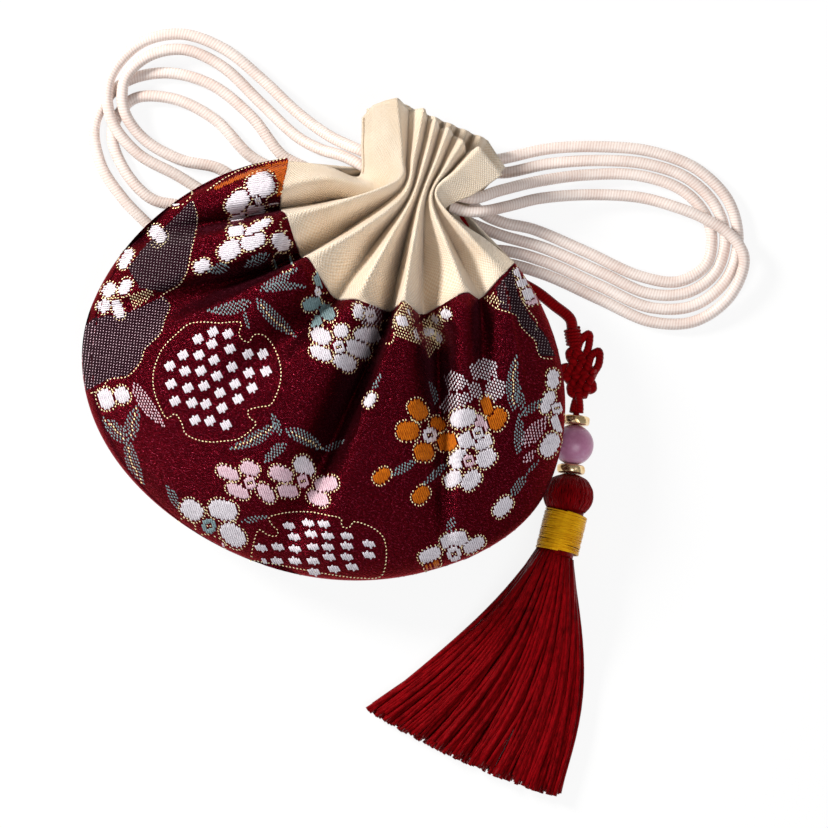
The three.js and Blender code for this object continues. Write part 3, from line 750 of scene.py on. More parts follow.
def back_collar_point(pleat, along):
    past = past_end(pleat)
    crowding = 0 if past > 0 else PLEAT_FULLNESS / (2 * TAU) * math.sin(2 * TAU * pleat)
    across = PLEAT_PITCH * (pleat + crowding - LAST_CREST / 2)
    foot = MOUTH_HALF_GAP + COLLAR_THICKNESS / 2
    lift = foot + BACK_PLEAT_RISE * pleat_height(pleat, 0)
    cinch = Vector((NECK_X + across, CINCH_Y, NECK_HEIGHT - lift))
    if along <= 0:
        join = pouch_point(pleat, 2)
        join.z += COLLAR_THICKNESS / 2
        if past > 0:
            join.z -= (COLLAR_THICKNESS / 2 + FIT_GAP) * 2 * past**2
        down = -along * (1 - FIT_GAP / (join - cinch).length)
        point = cinch.lerp(join, down)
        point.z = lerp(join.z, cinch.z, (1 - down) ** COLLAR_BULGE)
        return point
    flare = math.copysign(1, pleat - LAST_CREST / 2) * FLAP_FLARE * past
    top = Vector(
        (
            NECK_X + across * FRILL_SPREAD + flare,
            CINCH_Y + FRILL_HEIGHT - FLAP_DROP * past,
            NECK_HEIGHT - foot - BACK_PLEAT_RISE * FRILL_LIFT * pleat_height(pleat, FLAP_LEVEL),
        )
    )
    return cinch.lerp(top, along)


def cotton_material(name, tones):
    g = Graph(name)
    across, along = g.add("SeparateXYZ", {0: g.uv()}).outputs[:2]
    warp, weft = (g.math("SINE", g.math("MULTIPLY", way, TAU / COTTON_PITCH)) for way in (across, along))
    fuzz = g.noise(g.uv(2.2, 2.2), 1.0, 3.0, 0.6)
    cloud = g.noise(g.uv(0.09, 0.09), 1.0, 2.0)
    height = g.total(g.math("MULTIPLY", warp, weft), 0.5, fuzz)
    color = g.ramp(g.total(height, 0.42, cloud, 0.4), ((0.2, tones[0]), (0.6, tones[1])))
    g.bump(height, 0.8, 0.2)
    return g.finish(color, Roughness=0.86, Sheen_Weight=0.3, Sheen_Roughness=0.5)


cotton = cotton_material("cream_cotton", ((0.74, 0.56, 0.37), (0.89, 0.79, 0.66)))


def make_collar(name, collar_point):
    rows = [i / COLLAR_ROWS - 1 for i in range(COLLAR_ROWS)] + [i / FRILL_ROWS for i in range(FRILL_ROWS + 1)]
    columns = pleat_columns(COLLAR_COLUMNS)
    lengths = [along * (COLLAR_LENGTH if along < 0 else FRILL_HEIGHT) for along in rows]
    loops, uv = [], []
    for pleat in columns:
        surface = []
        for along in rows:
            before = collar_point(max(columns[0], pleat - NORMAL_STEP), along)
            after = collar_point(min(columns[-1], pleat + NORMAL_STEP), along)
            lower = collar_point(pleat, max(-1, along - NORMAL_STEP))
            upper = collar_point(pleat, min(1, along + NORMAL_STEP))
            normal = (after - before).cross(upper - lower).normalized()
            surface.append((collar_point(pleat, along), normal))
        under, over = ([p + n * (face * COLLAR_THICKNESS / 2) for p, n in surface] for face in (-1, 1))
        loops.append(under + over[::-1])
        uv += [(pleat * PLEAT_CLOTH, v) for v in lengths + lengths[::-1]]
    points, faces = loft(loops)
    return mesh_object(name, points, faces, cotton, uv=uv)


front_collar = make_collar("front_collar_cotton", front_collar_point)
back_collar = make_collar("back_collar_cotton", back_collar_point)


def hem_stitches():
    """The sewn line beside the left flap's free edge."""
    lift = Vector((0, 0, COLLAR_THICKNESS / 2))
    places = [lerp(*HEM_SPAN, i / HEM_STEPS) for i in range(HEM_STEPS + 1)]
    path, _ = catmull([front_collar_point(HEM_PLEAT, along) + lift for along in places], HEM_STEP)
    thread = cotton_material("hem_thread", HEM_TONES)
    swept_object("collar_hem_thread", sweep(path, HEM_THREAD, THREAD_SIDES), thread)


hem_stitches()
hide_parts("front_collar")
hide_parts("back_collar")


# Pendant: knot, rings, bead and tassel on the axis of the solids
BEAD_CENTRE = Vector((60.2, 13.1, 5.1))
PENDANT_TURN = math.radians(17.5)
PENDANT_LEAN = math.radians(-6)
BEAD_RADIUS = 4.9
BORE_RADIUS = 1.1
RING_TUBE_RADIUS = 1.15
RING_RADIUS = BORE_RADIUS + RING_TUBE_RADIUS
RING_OFFSET = math.sqrt((BEAD_RADIUS + RING_TUBE_RADIUS + FIT_GAP) ** 2 - RING_RADIUS**2)
KNOT_DISTANCE = 17
KNOT_TURN = math.radians(15)
KNOT_CORD = 1.9
KNOT_PASSES = 4
KNOT_PITCH = 2.1
KNOT_WEAVE = 0.7
KNOT_STEP = 0.22
KNOT_SIDES = 12
KNOT_RIB_PITCH = 0.9
KNOT_RIB_DEPTH = 0.035
KNOT_SLANT = Vector((math.sin(math.radians(33)), math.cos(math.radians(33)), 0))
RIGHT_EARS = [4.8, 1.8, 6.0]
LEFT_EARS = [1.7, 1.5, 1.8]
EAR_FULL = 2.2
EAR_WIDTH = 0.62
EAR_SHOULDER = 0.55
PAIR_STEPS = 24
PAIR_REACH = 0.85
PAIR_FLATNESS = 0.8
PAIR_CORD = 1.75
CORE_CORD = 1.5
CORE_INSET = 0.4
SLEEVE_TOP = 10.2
SLEEVE_APPROACH = 3.5
SLEEVE_SPAN = (SLEEVE_TOP - 2.8, SLEEVE_TOP + 1.2)
SLEEVE_RADIUS = 1.7
SLEEVE_TURNS = 5
SLEEVE_TURN_STEPS = 14
SLEEVE_THREAD = 0.8
NECK_SPAN = (4.6, SLEEVE_TOP - 0.3)
NECK_TURNS = 0.7
TAIL_SPAN = (RING_OFFSET + 1.9, KNOT_DISTANCE - 4.5)
TAIL_TURNS = 0.25
HEAD_TOP = -(RING_OFFSET + RING_TUBE_RADIUS + FIT_GAP)
HEAD_PROFILE = [(2, 0), (4.6, 1.2), (5.8, 3.2), (6.1, 5), (5.7, 6.8), (4.4, 8.4)]
HEAD_LENGTH = HEAD_PROFILE[-1][1]
WAIST_RADIUS = 4.4
BAND_TURN = math.radians(9)
BAND_CLEAR = 0.6
BAND_LENGTH = 10
SKIRT_BELOW_BAND = 1.2
THREAD_LENGTH = 57
SKIRT_TURN = math.radians(-1.6)
SKIRT_SWEEP = 3.6
HEM_FLATTENING = 2.4
SKIRT_FAN = math.radians(22)
HEM_HALF = 1.8
HEM_INNER = HEM_HALF - 0.2
HEM_MIDDLE = HEM_HALF + 0.65
HEM_RAGGED = (-1.4, 0.8)
SKIRT_THREADS = 400
SKIRT_BUNDLES = 50
SKIRT_STEPS = 10
SKIRT_STEP = 3.4
SKIRT_START = 0.2
SKIRT_INSET = 0.4
SKIRT_SLACK = 0.05
SKIRT_BEND = 0.5
SKIRT_WAVER = (0.25, 7)
SKIRT_THREAD = (0.42, 0.6)
CLUMP_SPREAD = (0.03, 0.5)
DROOP_END = 0.55
HEAD_THREADS = 66
HEAD_THREAD = 0.36
HEAD_STEPS = 8
HEAD_STEP = 0.62
HEAD_SOFTNESS = 0.4
HEAD_START = 0.15
HEAD_INSET = 0.3
HEAD_JITTER = 0.25
HEAD_LIFT = (-0.12, 0.1)
HEAD_WAVER = (0.05, 3)
CORE_SEGMENTS = 32
HEAD_CORE_INSET = 0.45
HEAD_CORE_DROP = 0.3
WAIST_CORE_INSET = 0.3
BAND_TURNS = 36
BAND_TURN_STEPS = 32
BAND_THREAD = 0.21
BAND_PADDING = 0.1
BAND_WOBBLE = (-0.06, 0.12)
BAND_TILT = (-0.3, 0.3)
RING_SEGMENTS = 54
RING_STEPS = 24
RING_FULLNESS = 0.96
RING_SQUARENESS = (0.7, 0.6)
BEAD_SEGMENTS = 64
BEAD_STEPS = 32


def frame_at(place, turn, lean=0.0):
    return Matrix.Translation(place) @ Matrix.Rotation(turn, 4, "Z") @ Matrix.Rotation(lean, 4, "X")


pendant_frame = frame_at(BEAD_CENTRE, PENDANT_TURN, PENDANT_LEAN)
knot_frame = pendant_frame @ frame_at(Vector((0, KNOT_DISTANCE, 0)), KNOT_TURN)
waist_top = pendant_frame @ Vector((0, HEAD_TOP - HEAD_LENGTH, 0))
band_frame = frame_at(waist_top, BAND_TURN, PENDANT_LEAN)
BAND_BOTTOM = -(BAND_CLEAR + BAND_LENGTH)


def turned(outline, segments, frame, dent=None):
    """An outline of (radius, along) turned about the frame's Y axis, closed on itself or on the axis."""
    points, faces, face_uv, rows = [], [], [], []
    closed = outline[0] == outline[-1]
    for radius, along in outline[:-1] if closed else outline:
        if radius < 1e-6:
            rows.append([len(points)])
            points.append(frame @ Vector((0, along, 0)))
            continue
        rows.append(list(range(len(points), len(points) + segments)))
        for j in range(segments):
            angle = TAU * j / segments
            reach = radius * (dent(angle, along) if dent else 1.0)
            points.append(frame @ Vector((reach * math.sin(angle), along, reach * math.cos(angle))))
    pairs = list(zip(rows, rows[1:])) + ([(rows[-1], rows[0])] if closed else [])
    for n, (a, b) in enumerate(pairs):
        for j in range(segments):
            k = (j + 1) % segments
            corners = [a[j % len(a)], a[k % len(a)], b[k % len(b)], b[j % len(b)]]
            uvs = [(j, n), (j + 1, n), (j + 1, n + 1), (j, n + 1)]
            keep = [i for i in range(4) if corners[i] not in corners[:i]]
            faces.append(tuple(corners[i] for i in keep))
            face_uv.append(tuple(uvs[i] for i in keep))
    return points, faces, face_uv


def thread_material(name, dark, light, rough, stretch):
    g = Graph(name)
    fine = g.noise(g.uv(6, stretch), 1.0, 3.0, 0.6)
    broad = g.noise(g.add("Mapping", {"Vector": g.place(), "Scale": (300, 20, 300)}), 1.0, 2.0)
    color = g.ramp(g.total(fine, 0.7, broad, 0.35), ((0.33, dark), (0.68, light)))
    g.bump(fine, 0.5, 0.1)
    return g.finish(color, Roughness=rough, Specular_IOR_Level=0.3, Specular_Tint=(*light, 1))


red_thread = thread_material("red_thread", (0.036, 0.0005, 0.0009), (0.25, 0.0022, 0.0045), 0.44, 0.5)
# The gold thread's light streaks along its length are painted glints.
gold_thread = thread_material("gold_thread", (0.4, 0.1, 0.001), (1.0, 0.56, 0.012), 0.24, 0.3)


def gold_material():
    g = Graph("gold_metal")
    worn = g.noise(g.place(), 900, 2.0)
    color = g.ramp(worn, ((0.3, (0.7, 0.42, 0.17)), (0.6, (0.95, 0.72, 0.42))))
    g.bump(worn, 0.5, 0.2)
    return g.finish(color, Metallic=1.0, Roughness=g.spread(worn, 0.38, 0.18))


def bead_material():
    g = Graph("lavender_stone")
    cloud = g.noise(g.place(), 260, 4.0, 0.6)
    color = g.ramp(cloud, ((0.3, (0.38, 0.13, 0.23)), (0.52, (0.5, 0.2, 0.34)), (0.72, (0.58, 0.33, 0.48))))
    return g.finish(
        color,
        Roughness=g.spread(cloud, 0.42, 0.3),
        Subsurface_Weight=0.15,
        Subsurface_Radius=(0.003, 0.002, 0.003),
        Coat_Weight=0.25,
        Coat_Roughness=0.3,
    )


gold = gold_material()


def hammered(angle, along):
    return 1.0 + 0.025 * math.cos(9 * angle + along * 2) + 0.012 * math.cos(5 * angle - along * 3)


def ring_outline(along):
    """A short band with rounded edges."""
    reach = RING_TUBE_RADIUS * RING_FULLNESS
    outline = []
    for i in range(RING_STEPS):
        angle = TAU * i / RING_STEPS
        out = signed_power(math.cos(angle), RING_SQUARENESS[0])
        up = signed_power(math.sin(angle), RING_SQUARENESS[1])
        outline.append((RING_RADIUS + reach * out, along + reach * up))
    return outline + [outline[0]]


for node, along in (("upper_ring", RING_OFFSET), ("lower_ring", -RING_OFFSET)):
    made = turned(ring_outline(along), RING_SEGMENTS, pendant_frame, hammered)
    ring = swept_object(node + "_gold", made, gold, node + "_body")
    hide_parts(node)


def bead_outline():
    start = math.acos(BORE_RADIUS / BEAD_RADIUS)
    angles = [lerp(-start, start, i / BEAD_STEPS) for i in range(BEAD_STEPS + 1)]
    outline = [(BEAD_RADIUS * math.cos(angle), BEAD_RADIUS * math.sin(angle)) for angle in angles]
    return outline + [outline[0]]


bead_surface = turned(bead_outline(), BEAD_SEGMENTS, pendant_frame)
bead = swept_object("bead_stone", bead_surface, bead_material(), "bead_body")
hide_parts("bead")


def knot_path(ears, side):
    """One strand's way through the weave, out to each of its ears and back."""
    forward = Vector((side * KNOT_SLANT.x, KNOT_SLANT.y, 0))
    sideways = Vector((-side * KNOT_SLANT.x, KNOT_SLANT.y, 0))
    middle = (KNOT_PASSES - 1) / 2
    points = []
    for turn in range(KNOT_PASSES):
        way = 1 if turn % 2 == 0 else -1
        base = sideways * ((turn - middle) * KNOT_PITCH)
        for cross in range(KNOT_PASSES):
            along = way * (cross - middle) * KNOT_PITCH
            other = cross if way > 0 else KNOT_PASSES - 1 - cross
            over = side if (turn + other) % 2 == 0 else -side
            points.append(base + forward * along + Vector((0, 0, over * KNOT_WEAVE)))
        if turn == KNOT_PASSES - 1:
            break
        ear = ears[turn]
        tip = way * (middle * KNOT_PITCH + ear)
        centre = sideways * ((turn + 0.5 - middle) * KNOT_PITCH)
        wide = min(1.0, ear / EAR_FULL) * KNOT_PITCH * EAR_WIDTH
        near = way * (middle * KNOT_PITCH + ear * EAR_SHOULDER)
        points.append(centre - sideways * wide + forward * near)
        points.append(centre + forward * tip)
        points.append(centre + sideways * wide + forward * near)
    return points


def twisted(along, angle):
    return 1 + KNOT_RIB_DEPTH * math.cos(TAU * along / KNOT_RIB_PITCH + RIB_SLANT * angle)


def knot_strand(points, diameter, frame):
    path, _ = catmull([frame @ p for p in points], KNOT_STEP)
    return sweep(path, diameter / 2, KNOT_SIDES, twisted)


def coil(span, turns, steps, reach, flatness=1.0, begin=0.0):
    """Points wound about the Y axis over a span of it."""
    points = []
    for i in range(steps + 1):
        angle = begin + TAU * turns * i / steps
        x, z = reach * math.cos(angle), reach * math.sin(angle) * flatness
        points.append(Vector((x, lerp(*span, i / steps), z)))
    return points


def twisted_pair(span, turns, frame):
    """Two strands wound about the frame's Y axis."""
    coils = [coil(span, turns, PAIR_STEPS, PAIR_REACH, PAIR_FLATNESS, begin) for begin in (0, math.pi)]
    return [knot_strand(points, PAIR_CORD, frame) for points in coils]


knot_sides = ((RIGHT_EARS, 1), (LEFT_EARS, -1))
knot_parts = [knot_strand(knot_path(ears, side), KNOT_CORD, knot_frame) for ears, side in knot_sides]
knot_parts += twisted_pair(NECK_SPAN, NECK_TURNS, knot_frame)
sleeve = coil(SLEEVE_SPAN, SLEEVE_TURNS, SLEEVE_TURNS * SLEEVE_TURN_STEPS, SLEEVE_RADIUS)
knot_parts.append(knot_strand(sleeve, SLEEVE_THREAD, knot_frame))
knot_parts += twisted_pair(TAIL_SPAN, TAIL_TURNS, pendant_frame)
core = [Vector((0, along, 0)) for along in (HEAD_TOP + CORE_INSET, 0, KNOT_DISTANCE)]
knot_parts.append(knot_strand(core, CORE_CORD, pendant_frame))
knot = swept_object("pendant_knot_woven", join_parts(knot_parts), red_satin)
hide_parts("pendant_knot")

sleeve_ends = [knot_frame @ Vector((0, SLEEVE_TOP + above, 0)) for above in (SLEEVE_APPROACH, FIT_GAP)]
pendant_points = route_points([PENDANT_ANCHOR, *PENDANT_ROUTE]) + sleeve_ends
satin_cord("pendant_cord", pendant_points, red_satin)


def head_radius(down):
    for (r0, d0), (r1, d1) in zip(HEAD_PROFILE, HEAD_PROFILE[1:]):
        if down <= d1:
            straight = (1 - HEAD_SOFTNESS) * (down - d0) / (d1 - d0)
            return lerp(r0, r1, smoothstep(down, d0, d1) * HEAD_SOFTNESS + straight)
    return HEAD_PROFILE[-1][0]


def tassel_cores():
    """Plain bodies under the head's and the waist's threads."""
    head = [(r - HEAD_CORE_INSET, HEAD_TOP - d) for r, d in HEAD_PROFILE[::-1]]
    head = [(0, HEAD_TOP - HEAD_LENGTH), *head, (0, HEAD_TOP - HEAD_CORE_DROP)]
    low, radius = BAND_BOTTOM - 2 * SKIRT_BELOW_BAND, WAIST_RADIUS - WAIST_CORE_INSET
    waist = [(0, low), (radius, low), (radius, BAND_CLEAR), (0, BAND_CLEAR)]
    return [turned(head, CORE_SEGMENTS, pendant_frame), turned(waist, CORE_SEGMENTS, band_frame)]


def head_thread(n, rng):
    angle = TAU * (n + rng.uniform(-HEAD_JITTER, HEAD_JITTER)) / HEAD_THREADS
    lift = rng.uniform(*HEAD_LIFT)
    line = []
    for i in range(HEAD_STEPS + 1):
        down = HEAD_LENGTH * i / HEAD_STEPS
        r = head_radius(down) - HEAD_INSET + lift
        turn = angle + HEAD_WAVER[0] * math.sin(HEAD_WAVER[1] * down + n)
        along = HEAD_TOP - HEAD_START - down
        line.append(pendant_frame @ Vector((r * math.sin(turn), along, r * math.cos(turn))))
    path, _ = catmull(line, HEAD_STEP)
    return sweep(path, HEAD_THREAD, THREAD_SIDES)


def skirt_thread(n, side, height, rng):
    """One thread of the fan, from the band to the hem, near its clump's place across and up."""
    start = band_frame @ Vector((0, BAND_BOTTOM - SKIRT_BELOW_BAND * SKIRT_START, 0))
    skirt_frame = frame_at(Vector((start.x, start.y, 0)), SKIRT_TURN)
    inner = WAIST_RADIUS - SKIRT_INSET
    q = clamp(side + rng.gauss(0, CLUMP_SPREAD[0]), -1, 1)
    s = clamp(height + rng.gauss(0, CLUMP_SPREAD[1]), -1, 1)
    s = math.copysign(min(abs(s), math.sqrt(max(0.0, 1 - q * q)) + SKIRT_SLACK), s)
    length = THREAD_LENGTH - HEM_FLATTENING * (1 - q * q) + rng.uniform(*HEM_RAGGED)
    bend = rng.gauss(0, SKIRT_BEND)
    fan = SKIRT_FAN * q
    line = []
    for i in range(SKIRT_STEPS + 1):
        share = i / SKIRT_STEPS
        droop = smoothstep(share, 0, DROOP_END)
        half = lerp(inner, HEM_INNER, droop)
        middle = lerp(start.z, HEM_MIDDLE, droop)
        far = length * share
        sway = (bend + SKIRT_SWEEP) * math.sin(math.pi * share)
        waver = SKIRT_WAVER[0] * math.sin(SKIRT_WAVER[1] * share + n)
        x = inner * q + far * math.sin(fan) + sway + waver
        line.append(skirt_frame @ Vector((x, -far * math.cos(fan), middle + half * s)))
    path, _ = catmull(line, SKIRT_STEP)
    return sweep(path, rng.uniform(*SKIRT_THREAD), THREAD_SIDES)


def make_tassel():
    rng = random.Random(7)
    parts = tassel_cores() + [head_thread(n, rng) for n in range(HEAD_THREADS)]
    clumps = [(lerp(-1, 1, (b + 0.5) / SKIRT_BUNDLES), rng.uniform(-1, 1)) for b in range(SKIRT_BUNDLES)]
    parts += [skirt_thread(n, *clumps[n % SKIRT_BUNDLES], rng) for n in range(SKIRT_THREADS)]
    return swept_object("tassel_threads", join_parts(parts), red_thread)


tassel = make_tassel()
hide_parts("tassel")


def make_band():
    """Fine gold thread wound over the waist, each turn at its own height."""
    rng = random.Random(3)
    steps = BAND_TURNS * BAND_TURN_STEPS
    top, bottom = -BAND_CLEAR - BAND_THREAD, BAND_BOTTOM + BAND_THREAD
    wobble = [rng.uniform(*BAND_WOBBLE) for _ in range(BAND_TURNS + 2)]
    tilt = [rng.uniform(*BAND_TILT) for _ in range(BAND_TURNS + 2)]
    line = []
    for i in range(steps + 1):
        angle = TAU * i / BAND_TURN_STEPS
        k, share = i // BAND_TURN_STEPS, i / BAND_TURN_STEPS % 1
        r = WAIST_RADIUS + FIT_GAP + BAND_THREAD + BAND_PADDING + lerp(wobble[k], wobble[k + 1], share)
        along = lerp(top, bottom, i / steps) + lerp(tilt[k], tilt[k + 1], share) * math.sin(angle)
        along = clamp(along, bottom, top)
        line.append(band_frame @ Vector((r * math.sin(angle), along, r * math.cos(angle))))
    made = sweep(line, BAND_THREAD, THREAD_SIDES)
    return swept_object("gold_band_thread", made, gold_thread)


band = make_band()
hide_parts("gold_band")


# Embroidery: stitches laid on the brocade where the photograph shows them. Places are pixels of the
# photograph, sizes along the surface too, and angles are degrees in the picture, clockwise from its right.
THREAD_PITCH = 2.0
THREAD_LIFT = 0.17
THREAD_LIFT_SHARES = (0.85, 1.15)
THREAD_SINK = 0.08
THREAD_STATION = 3.0
THREAD_END = 0.1
THREAD_HALF = 0.57
THREAD_END_HALF = 0.3
THREAD_SHOULDER = 0.75
SHORTEST_SPAN = 2
STITCH_LIFT = 0.17
STITCH_SIDES = 8
RAGGED = 2.3
RAGGED_SHARES = ((0.6, 1), (0.1, 0.3))
SEPARATION = 1.6
PETAL_FULLNESS = 1.03
PETAL_BLUNTNESS = 2.5
GOLD_STITCH = (2.9, 1.6)
GOLD_SPACING = 3.3
GOLD_OFFSET = 1.9
GOLD_JITTER = (-0.15, 0.15)
GOLD_TURN = (-14, 14)
LINE_SPACING = GOLD_SPACING * 1.1
LINE_TURN = (-12, 12)
MESH_STITCH = (3.5, 2.0)
MESH_PITCH = (3.5, 2.25)
CLOUD_STITCH = (2.6, 1.45)
CLOUD_PITCH = (4.1, 2.05)
WHITE_STITCH = (3.8, 2.4)
WHITE_PITCH = (3.8, 2.5)
RUST_PITCH = (2.2, 1.3)
LEAF_SHAPE = (0.8, 0.7)
LEAF_TURN = (-8, 8)
VEIN_SPAN = (0.12, 0.9)
GROUND_STEP = 1.6
GROUND_LIFT = 0.05
HEART_HOLE = 0.46
WEAVE = 72
BRAID = -38
FOLD_STEEPNESS = 0.16
RIM_STEEPNESS = 0.03
RIM_SHARE = 0.9
MOST_STRETCH = 2.8
luck = random.Random(7)


def picture_direction(degrees):
    angle = math.radians(degrees)
    return Vector((math.cos(angle), math.sin(angle)))


def near_rim(point):
    return math.hypot(point.x / BELLY_HALF_WIDTH, point.y / belly_reach(point.y)) > RIM_SHARE


class Panel:
    """One side of the pouch, addressed by the photograph's pixels; the back is the front mirrored."""

    def __init__(self, front):
        self.tree = BVHTree.FromPolygons(pouch_points, pouch_faces)
        self.front = front
        self.sets = {}

    def touch(self, place):
        """The point of the cloth at a pixel and its outward normal, or None beside the cloth."""
        target = at_pixel(place.x, place.y)
        if self.front:
            eye = IMAGE_CENTRE + Vector((0, 0, CAMERA_DISTANCE))
            hit = self.tree.ray_cast(eye, (target - eye).normalized())
            facing = 1
        else:
            hit = self.tree.ray_cast(Vector((-target.x, target.y, -CAMERA_DISTANCE)), Vector((0, 0, 1)))
            facing = -1
        if hit[0] is None:
            return None
        normal = hit[1] if hit[1].z * facing > 0 else -hit[1]
        if abs(normal.z) < (RIM_STEEPNESS if near_rim(hit[0]) else FOLD_STEEPNESS):
            return None
        return hit[0], normal

    def along_cloth(self, flat, normal):
        """One pixel's step in a picture direction, laid along the cloth and stretched with its slope."""
        way = RIGHT * flat.x - UP * flat.y
        if not self.front:
            way = Vector((-way.x, way.y, 0))
        along = way - normal * way.dot(normal)
        return along / max(along.length, 1 / MOST_STRETCH) ** 2

    def stitches(self, color):
        return self.sets.setdefault(color, ([], [], []))

    def oval(self, color, place, size, degrees):
        """One short stitch: a low dome, long along its own direction."""
        found = self.touch(place)
        if not found:
            return
        point, normal = found
        points, faces, uv = self.stitches(color)
        axes = [self.along_cloth(picture_direction(turn), normal) for turn in (degrees, degrees + 90)]
        start = len(points)
        points.append(point + normal * STITCH_LIFT)
        uv.append((place.x, place.y))
        for i in range(STITCH_SIDES):
            angle = TAU * i / STITCH_SIDES
            reach = axes[0] * (math.cos(angle) * size[0] / 2) + axes[1] * (math.sin(angle) * size[1] / 2)
            points.append(point + reach * PIXEL - normal * THREAD_SINK)
            uv.append((place.x + math.cos(angle) * size[0] / 2, place.y + math.sin(angle) * size[1] / 2))
            nxt = start + 1 + (i + 1) % STITCH_SIDES
            faces.append((start, start + 1 + i, nxt) if self.front else (start, nxt, start + 1 + i))

    def thread(self, color, first, last):
        """One long stitch between two pixels: a strip with a raised middle that dives in at both ends."""
        count = max(2, round((last - first).length / THREAD_STATION))
        shares = [0.0] + [lerp(THREAD_END, 1 - THREAD_END, i / count) for i in range(count + 1)] + [1.0]
        stations = []
        for share in shares:
            found = self.touch(first.lerp(last, share))
            if not found:
                return
            stations.append(found)
        points, faces, uv = self.stitches(color)
        flat = (last - first).normalized()
        side = Vector((-flat.y, flat.x))
        start = len(points)
        lift = THREAD_LIFT * luck.uniform(*THREAD_LIFT_SHARES)
        for share, (point, normal) in zip(shares, stations):
            end = share in (0.0, 1.0)
            half = THREAD_PITCH * PIXEL * (THREAD_END_HALF if end else THREAD_HALF)
            across = self.along_cloth(side, normal) * half
            rise = -THREAD_SINK if end else lift * THREAD_SHOULDER
            length = (last - first).length * share
            for offset, height in ((-1, -THREAD_SINK), (-0.5, rise), (0.5, rise), (1, -THREAD_SINK)):
                points.append(point + across * offset + normal * height)
                uv.append((offset * THREAD_PITCH + first.x, length + first.y))
        for i in range(len(stations) - 1):
            for j in range(3):
                a = start + i * 4 + j
                face = (a, a + 4, a + 5, a + 1)
                faces.append(face if self.front else face[::-1])


def inside_polygon(place, corners):
    inside = False
    for a, b in zip(corners, corners[1:] + corners[:1]):
        if (a[1] > place.y) != (b[1] > place.y):
            if place.x < a[0] + (place.y - a[1]) / (b[1] - a[1]) * (b[0] - a[0]):
                inside = not inside
    return inside


class Oval:
    """A petal's outline: a blunt oval about a place, turned in the picture."""

    def __init__(self, x, y, length, width, degrees):
        self.centre = Vector((x, y))
        self.long, self.short = picture_direction(degrees), picture_direction(degrees + 90)
        self.a, self.b = length / 2 * PETAL_FULLNESS, width / 2 * PETAL_FULLNESS

    def holds(self, place, margin=0.0):
        away = place - self.centre
        along = abs(away.dot(self.long)) / (self.a + margin)
        across = abs(away.dot(self.short)) / (self.b + margin)
        return along**PETAL_BLUNTNESS + across**PETAL_BLUNTNESS < 1

    def rim(self, angle, margin):
        blunt = 2 / PETAL_BLUNTNESS
        along = signed_power(math.cos(angle), blunt) * (self.a + margin)
        across = signed_power(math.sin(angle), blunt) * (self.b + margin)
        return self.centre + self.long * along + self.short * across


def fill(panel, color, centre, reach, weave, holds):
    """Side by side threads in the weave's direction wherever a test of the place holds."""
    run, step = picture_direction(weave), picture_direction(weave + 90)
    count = int(reach / THREAD_PITCH + 0.5)
    for i in range(-count, count + 1):
        line = centre + step * (i * THREAD_PITCH)
        spans = []
        for t in range(round(-2 * reach), round(2 * reach) + 1):
            if holds(line + run * (t / 2)):
                if spans and spans[-1][1] == t - 1:
                    spans[-1][1] = t
                else:
                    spans.append([t, t])
        for low, high in spans:
            if high - low > SHORTEST_SPAN:
                first, last = (RAGGED * luck.uniform(*RAGGED_SHARES[i % 2]) for _ in range(2))
                panel.thread(color, line + run * (low / 2 - first), line + run * (high / 2 + last))


def petal(panel, color, oval, weave=WEAVE, others=(), earlier=()):
    """An oval of threads, cut where an earlier petal lies, with gold stitches along its free rim."""
    reach = oval.a + oval.b
    near = [other for other in earlier if (other.centre - oval.centre).length < reach + other.a + other.b]

    def free(place):
        return oval.holds(place) and not any(other.holds(place, SEPARATION) for other in near)

    fill(panel, color, oval.centre, max(oval.a, oval.b), weave, free)
    steps = max(6, round((math.pi * (oval.a + oval.b) + TAU * GOLD_OFFSET) / GOLD_SPACING))
    for i in range(steps if others else 0):
        place = oval.rim(TAU * (i + luck.uniform(*GOLD_JITTER)) / steps, GOLD_OFFSET)
        if not any(other.holds(place) for other in others):
            panel.oval("gold", place, GOLD_STITCH, weave + luck.uniform(*GOLD_TURN))


def leaf(panel, color, x0, y0, x1, y1, width, bend, vein=False):
    """A pointed leaf of short stitches in staggered rows, from its stem to its tip."""
    stem, tip = Vector((x0, y0)), Vector((x1, y1))
    axis = tip - stem
    length = axis.length
    axis.normalize()
    side = Vector((-axis.y, axis.x))
    rows = max(3, round(length / MESH_PITCH[0]))
    for row in range(rows):
        share = (row + 0.5) / rows
        half = width / 2 * math.sin(math.pi * share ** LEAF_SHAPE[0]) ** LEAF_SHAPE[1]
        middle = stem + axis * (length * share) + side * (bend * math.sin(math.pi * share))
        count = max(1, round(2 * half / MESH_PITCH[1]))
        for i in range(count):
            offset = (i + 0.5 - count / 2) * MESH_PITCH[1]
            place = middle + side * offset + axis * (MESH_PITCH[0] * (0.5 * (i % 2) - 0.25))
            gilt = vein and i == count // 2 and VEIN_SPAN[0] < share < VEIN_SPAN[1]
            panel.oval("gold" if gilt else color, place, MESH_STITCH, WEAVE + luck.uniform(*LEAF_TURN))


def field(panel, color, corners, size, pitch, degrees):
    """A patch of fine stitches in staggered rows inside a polygon."""
    run, step = picture_direction(degrees), picture_direction(degrees + 90)
    middle = Vector((sum(c[0] for c in corners), sum(c[1] for c in corners))) / len(corners)
    reach = max((Vector(c) - middle).length for c in corners)
    rows = int(reach / pitch[1])
    columns = int(reach / pitch[0])
    for row in range(-rows, rows + 1):
        for column in range(-columns, columns + 1):
            along = (column + 0.5 * (row % 2)) * pitch[0]
            place = middle + run * along + step * (row * pitch[1])
            if inside_polygon(place, corners):
                panel.oval(color, place, size, degrees)


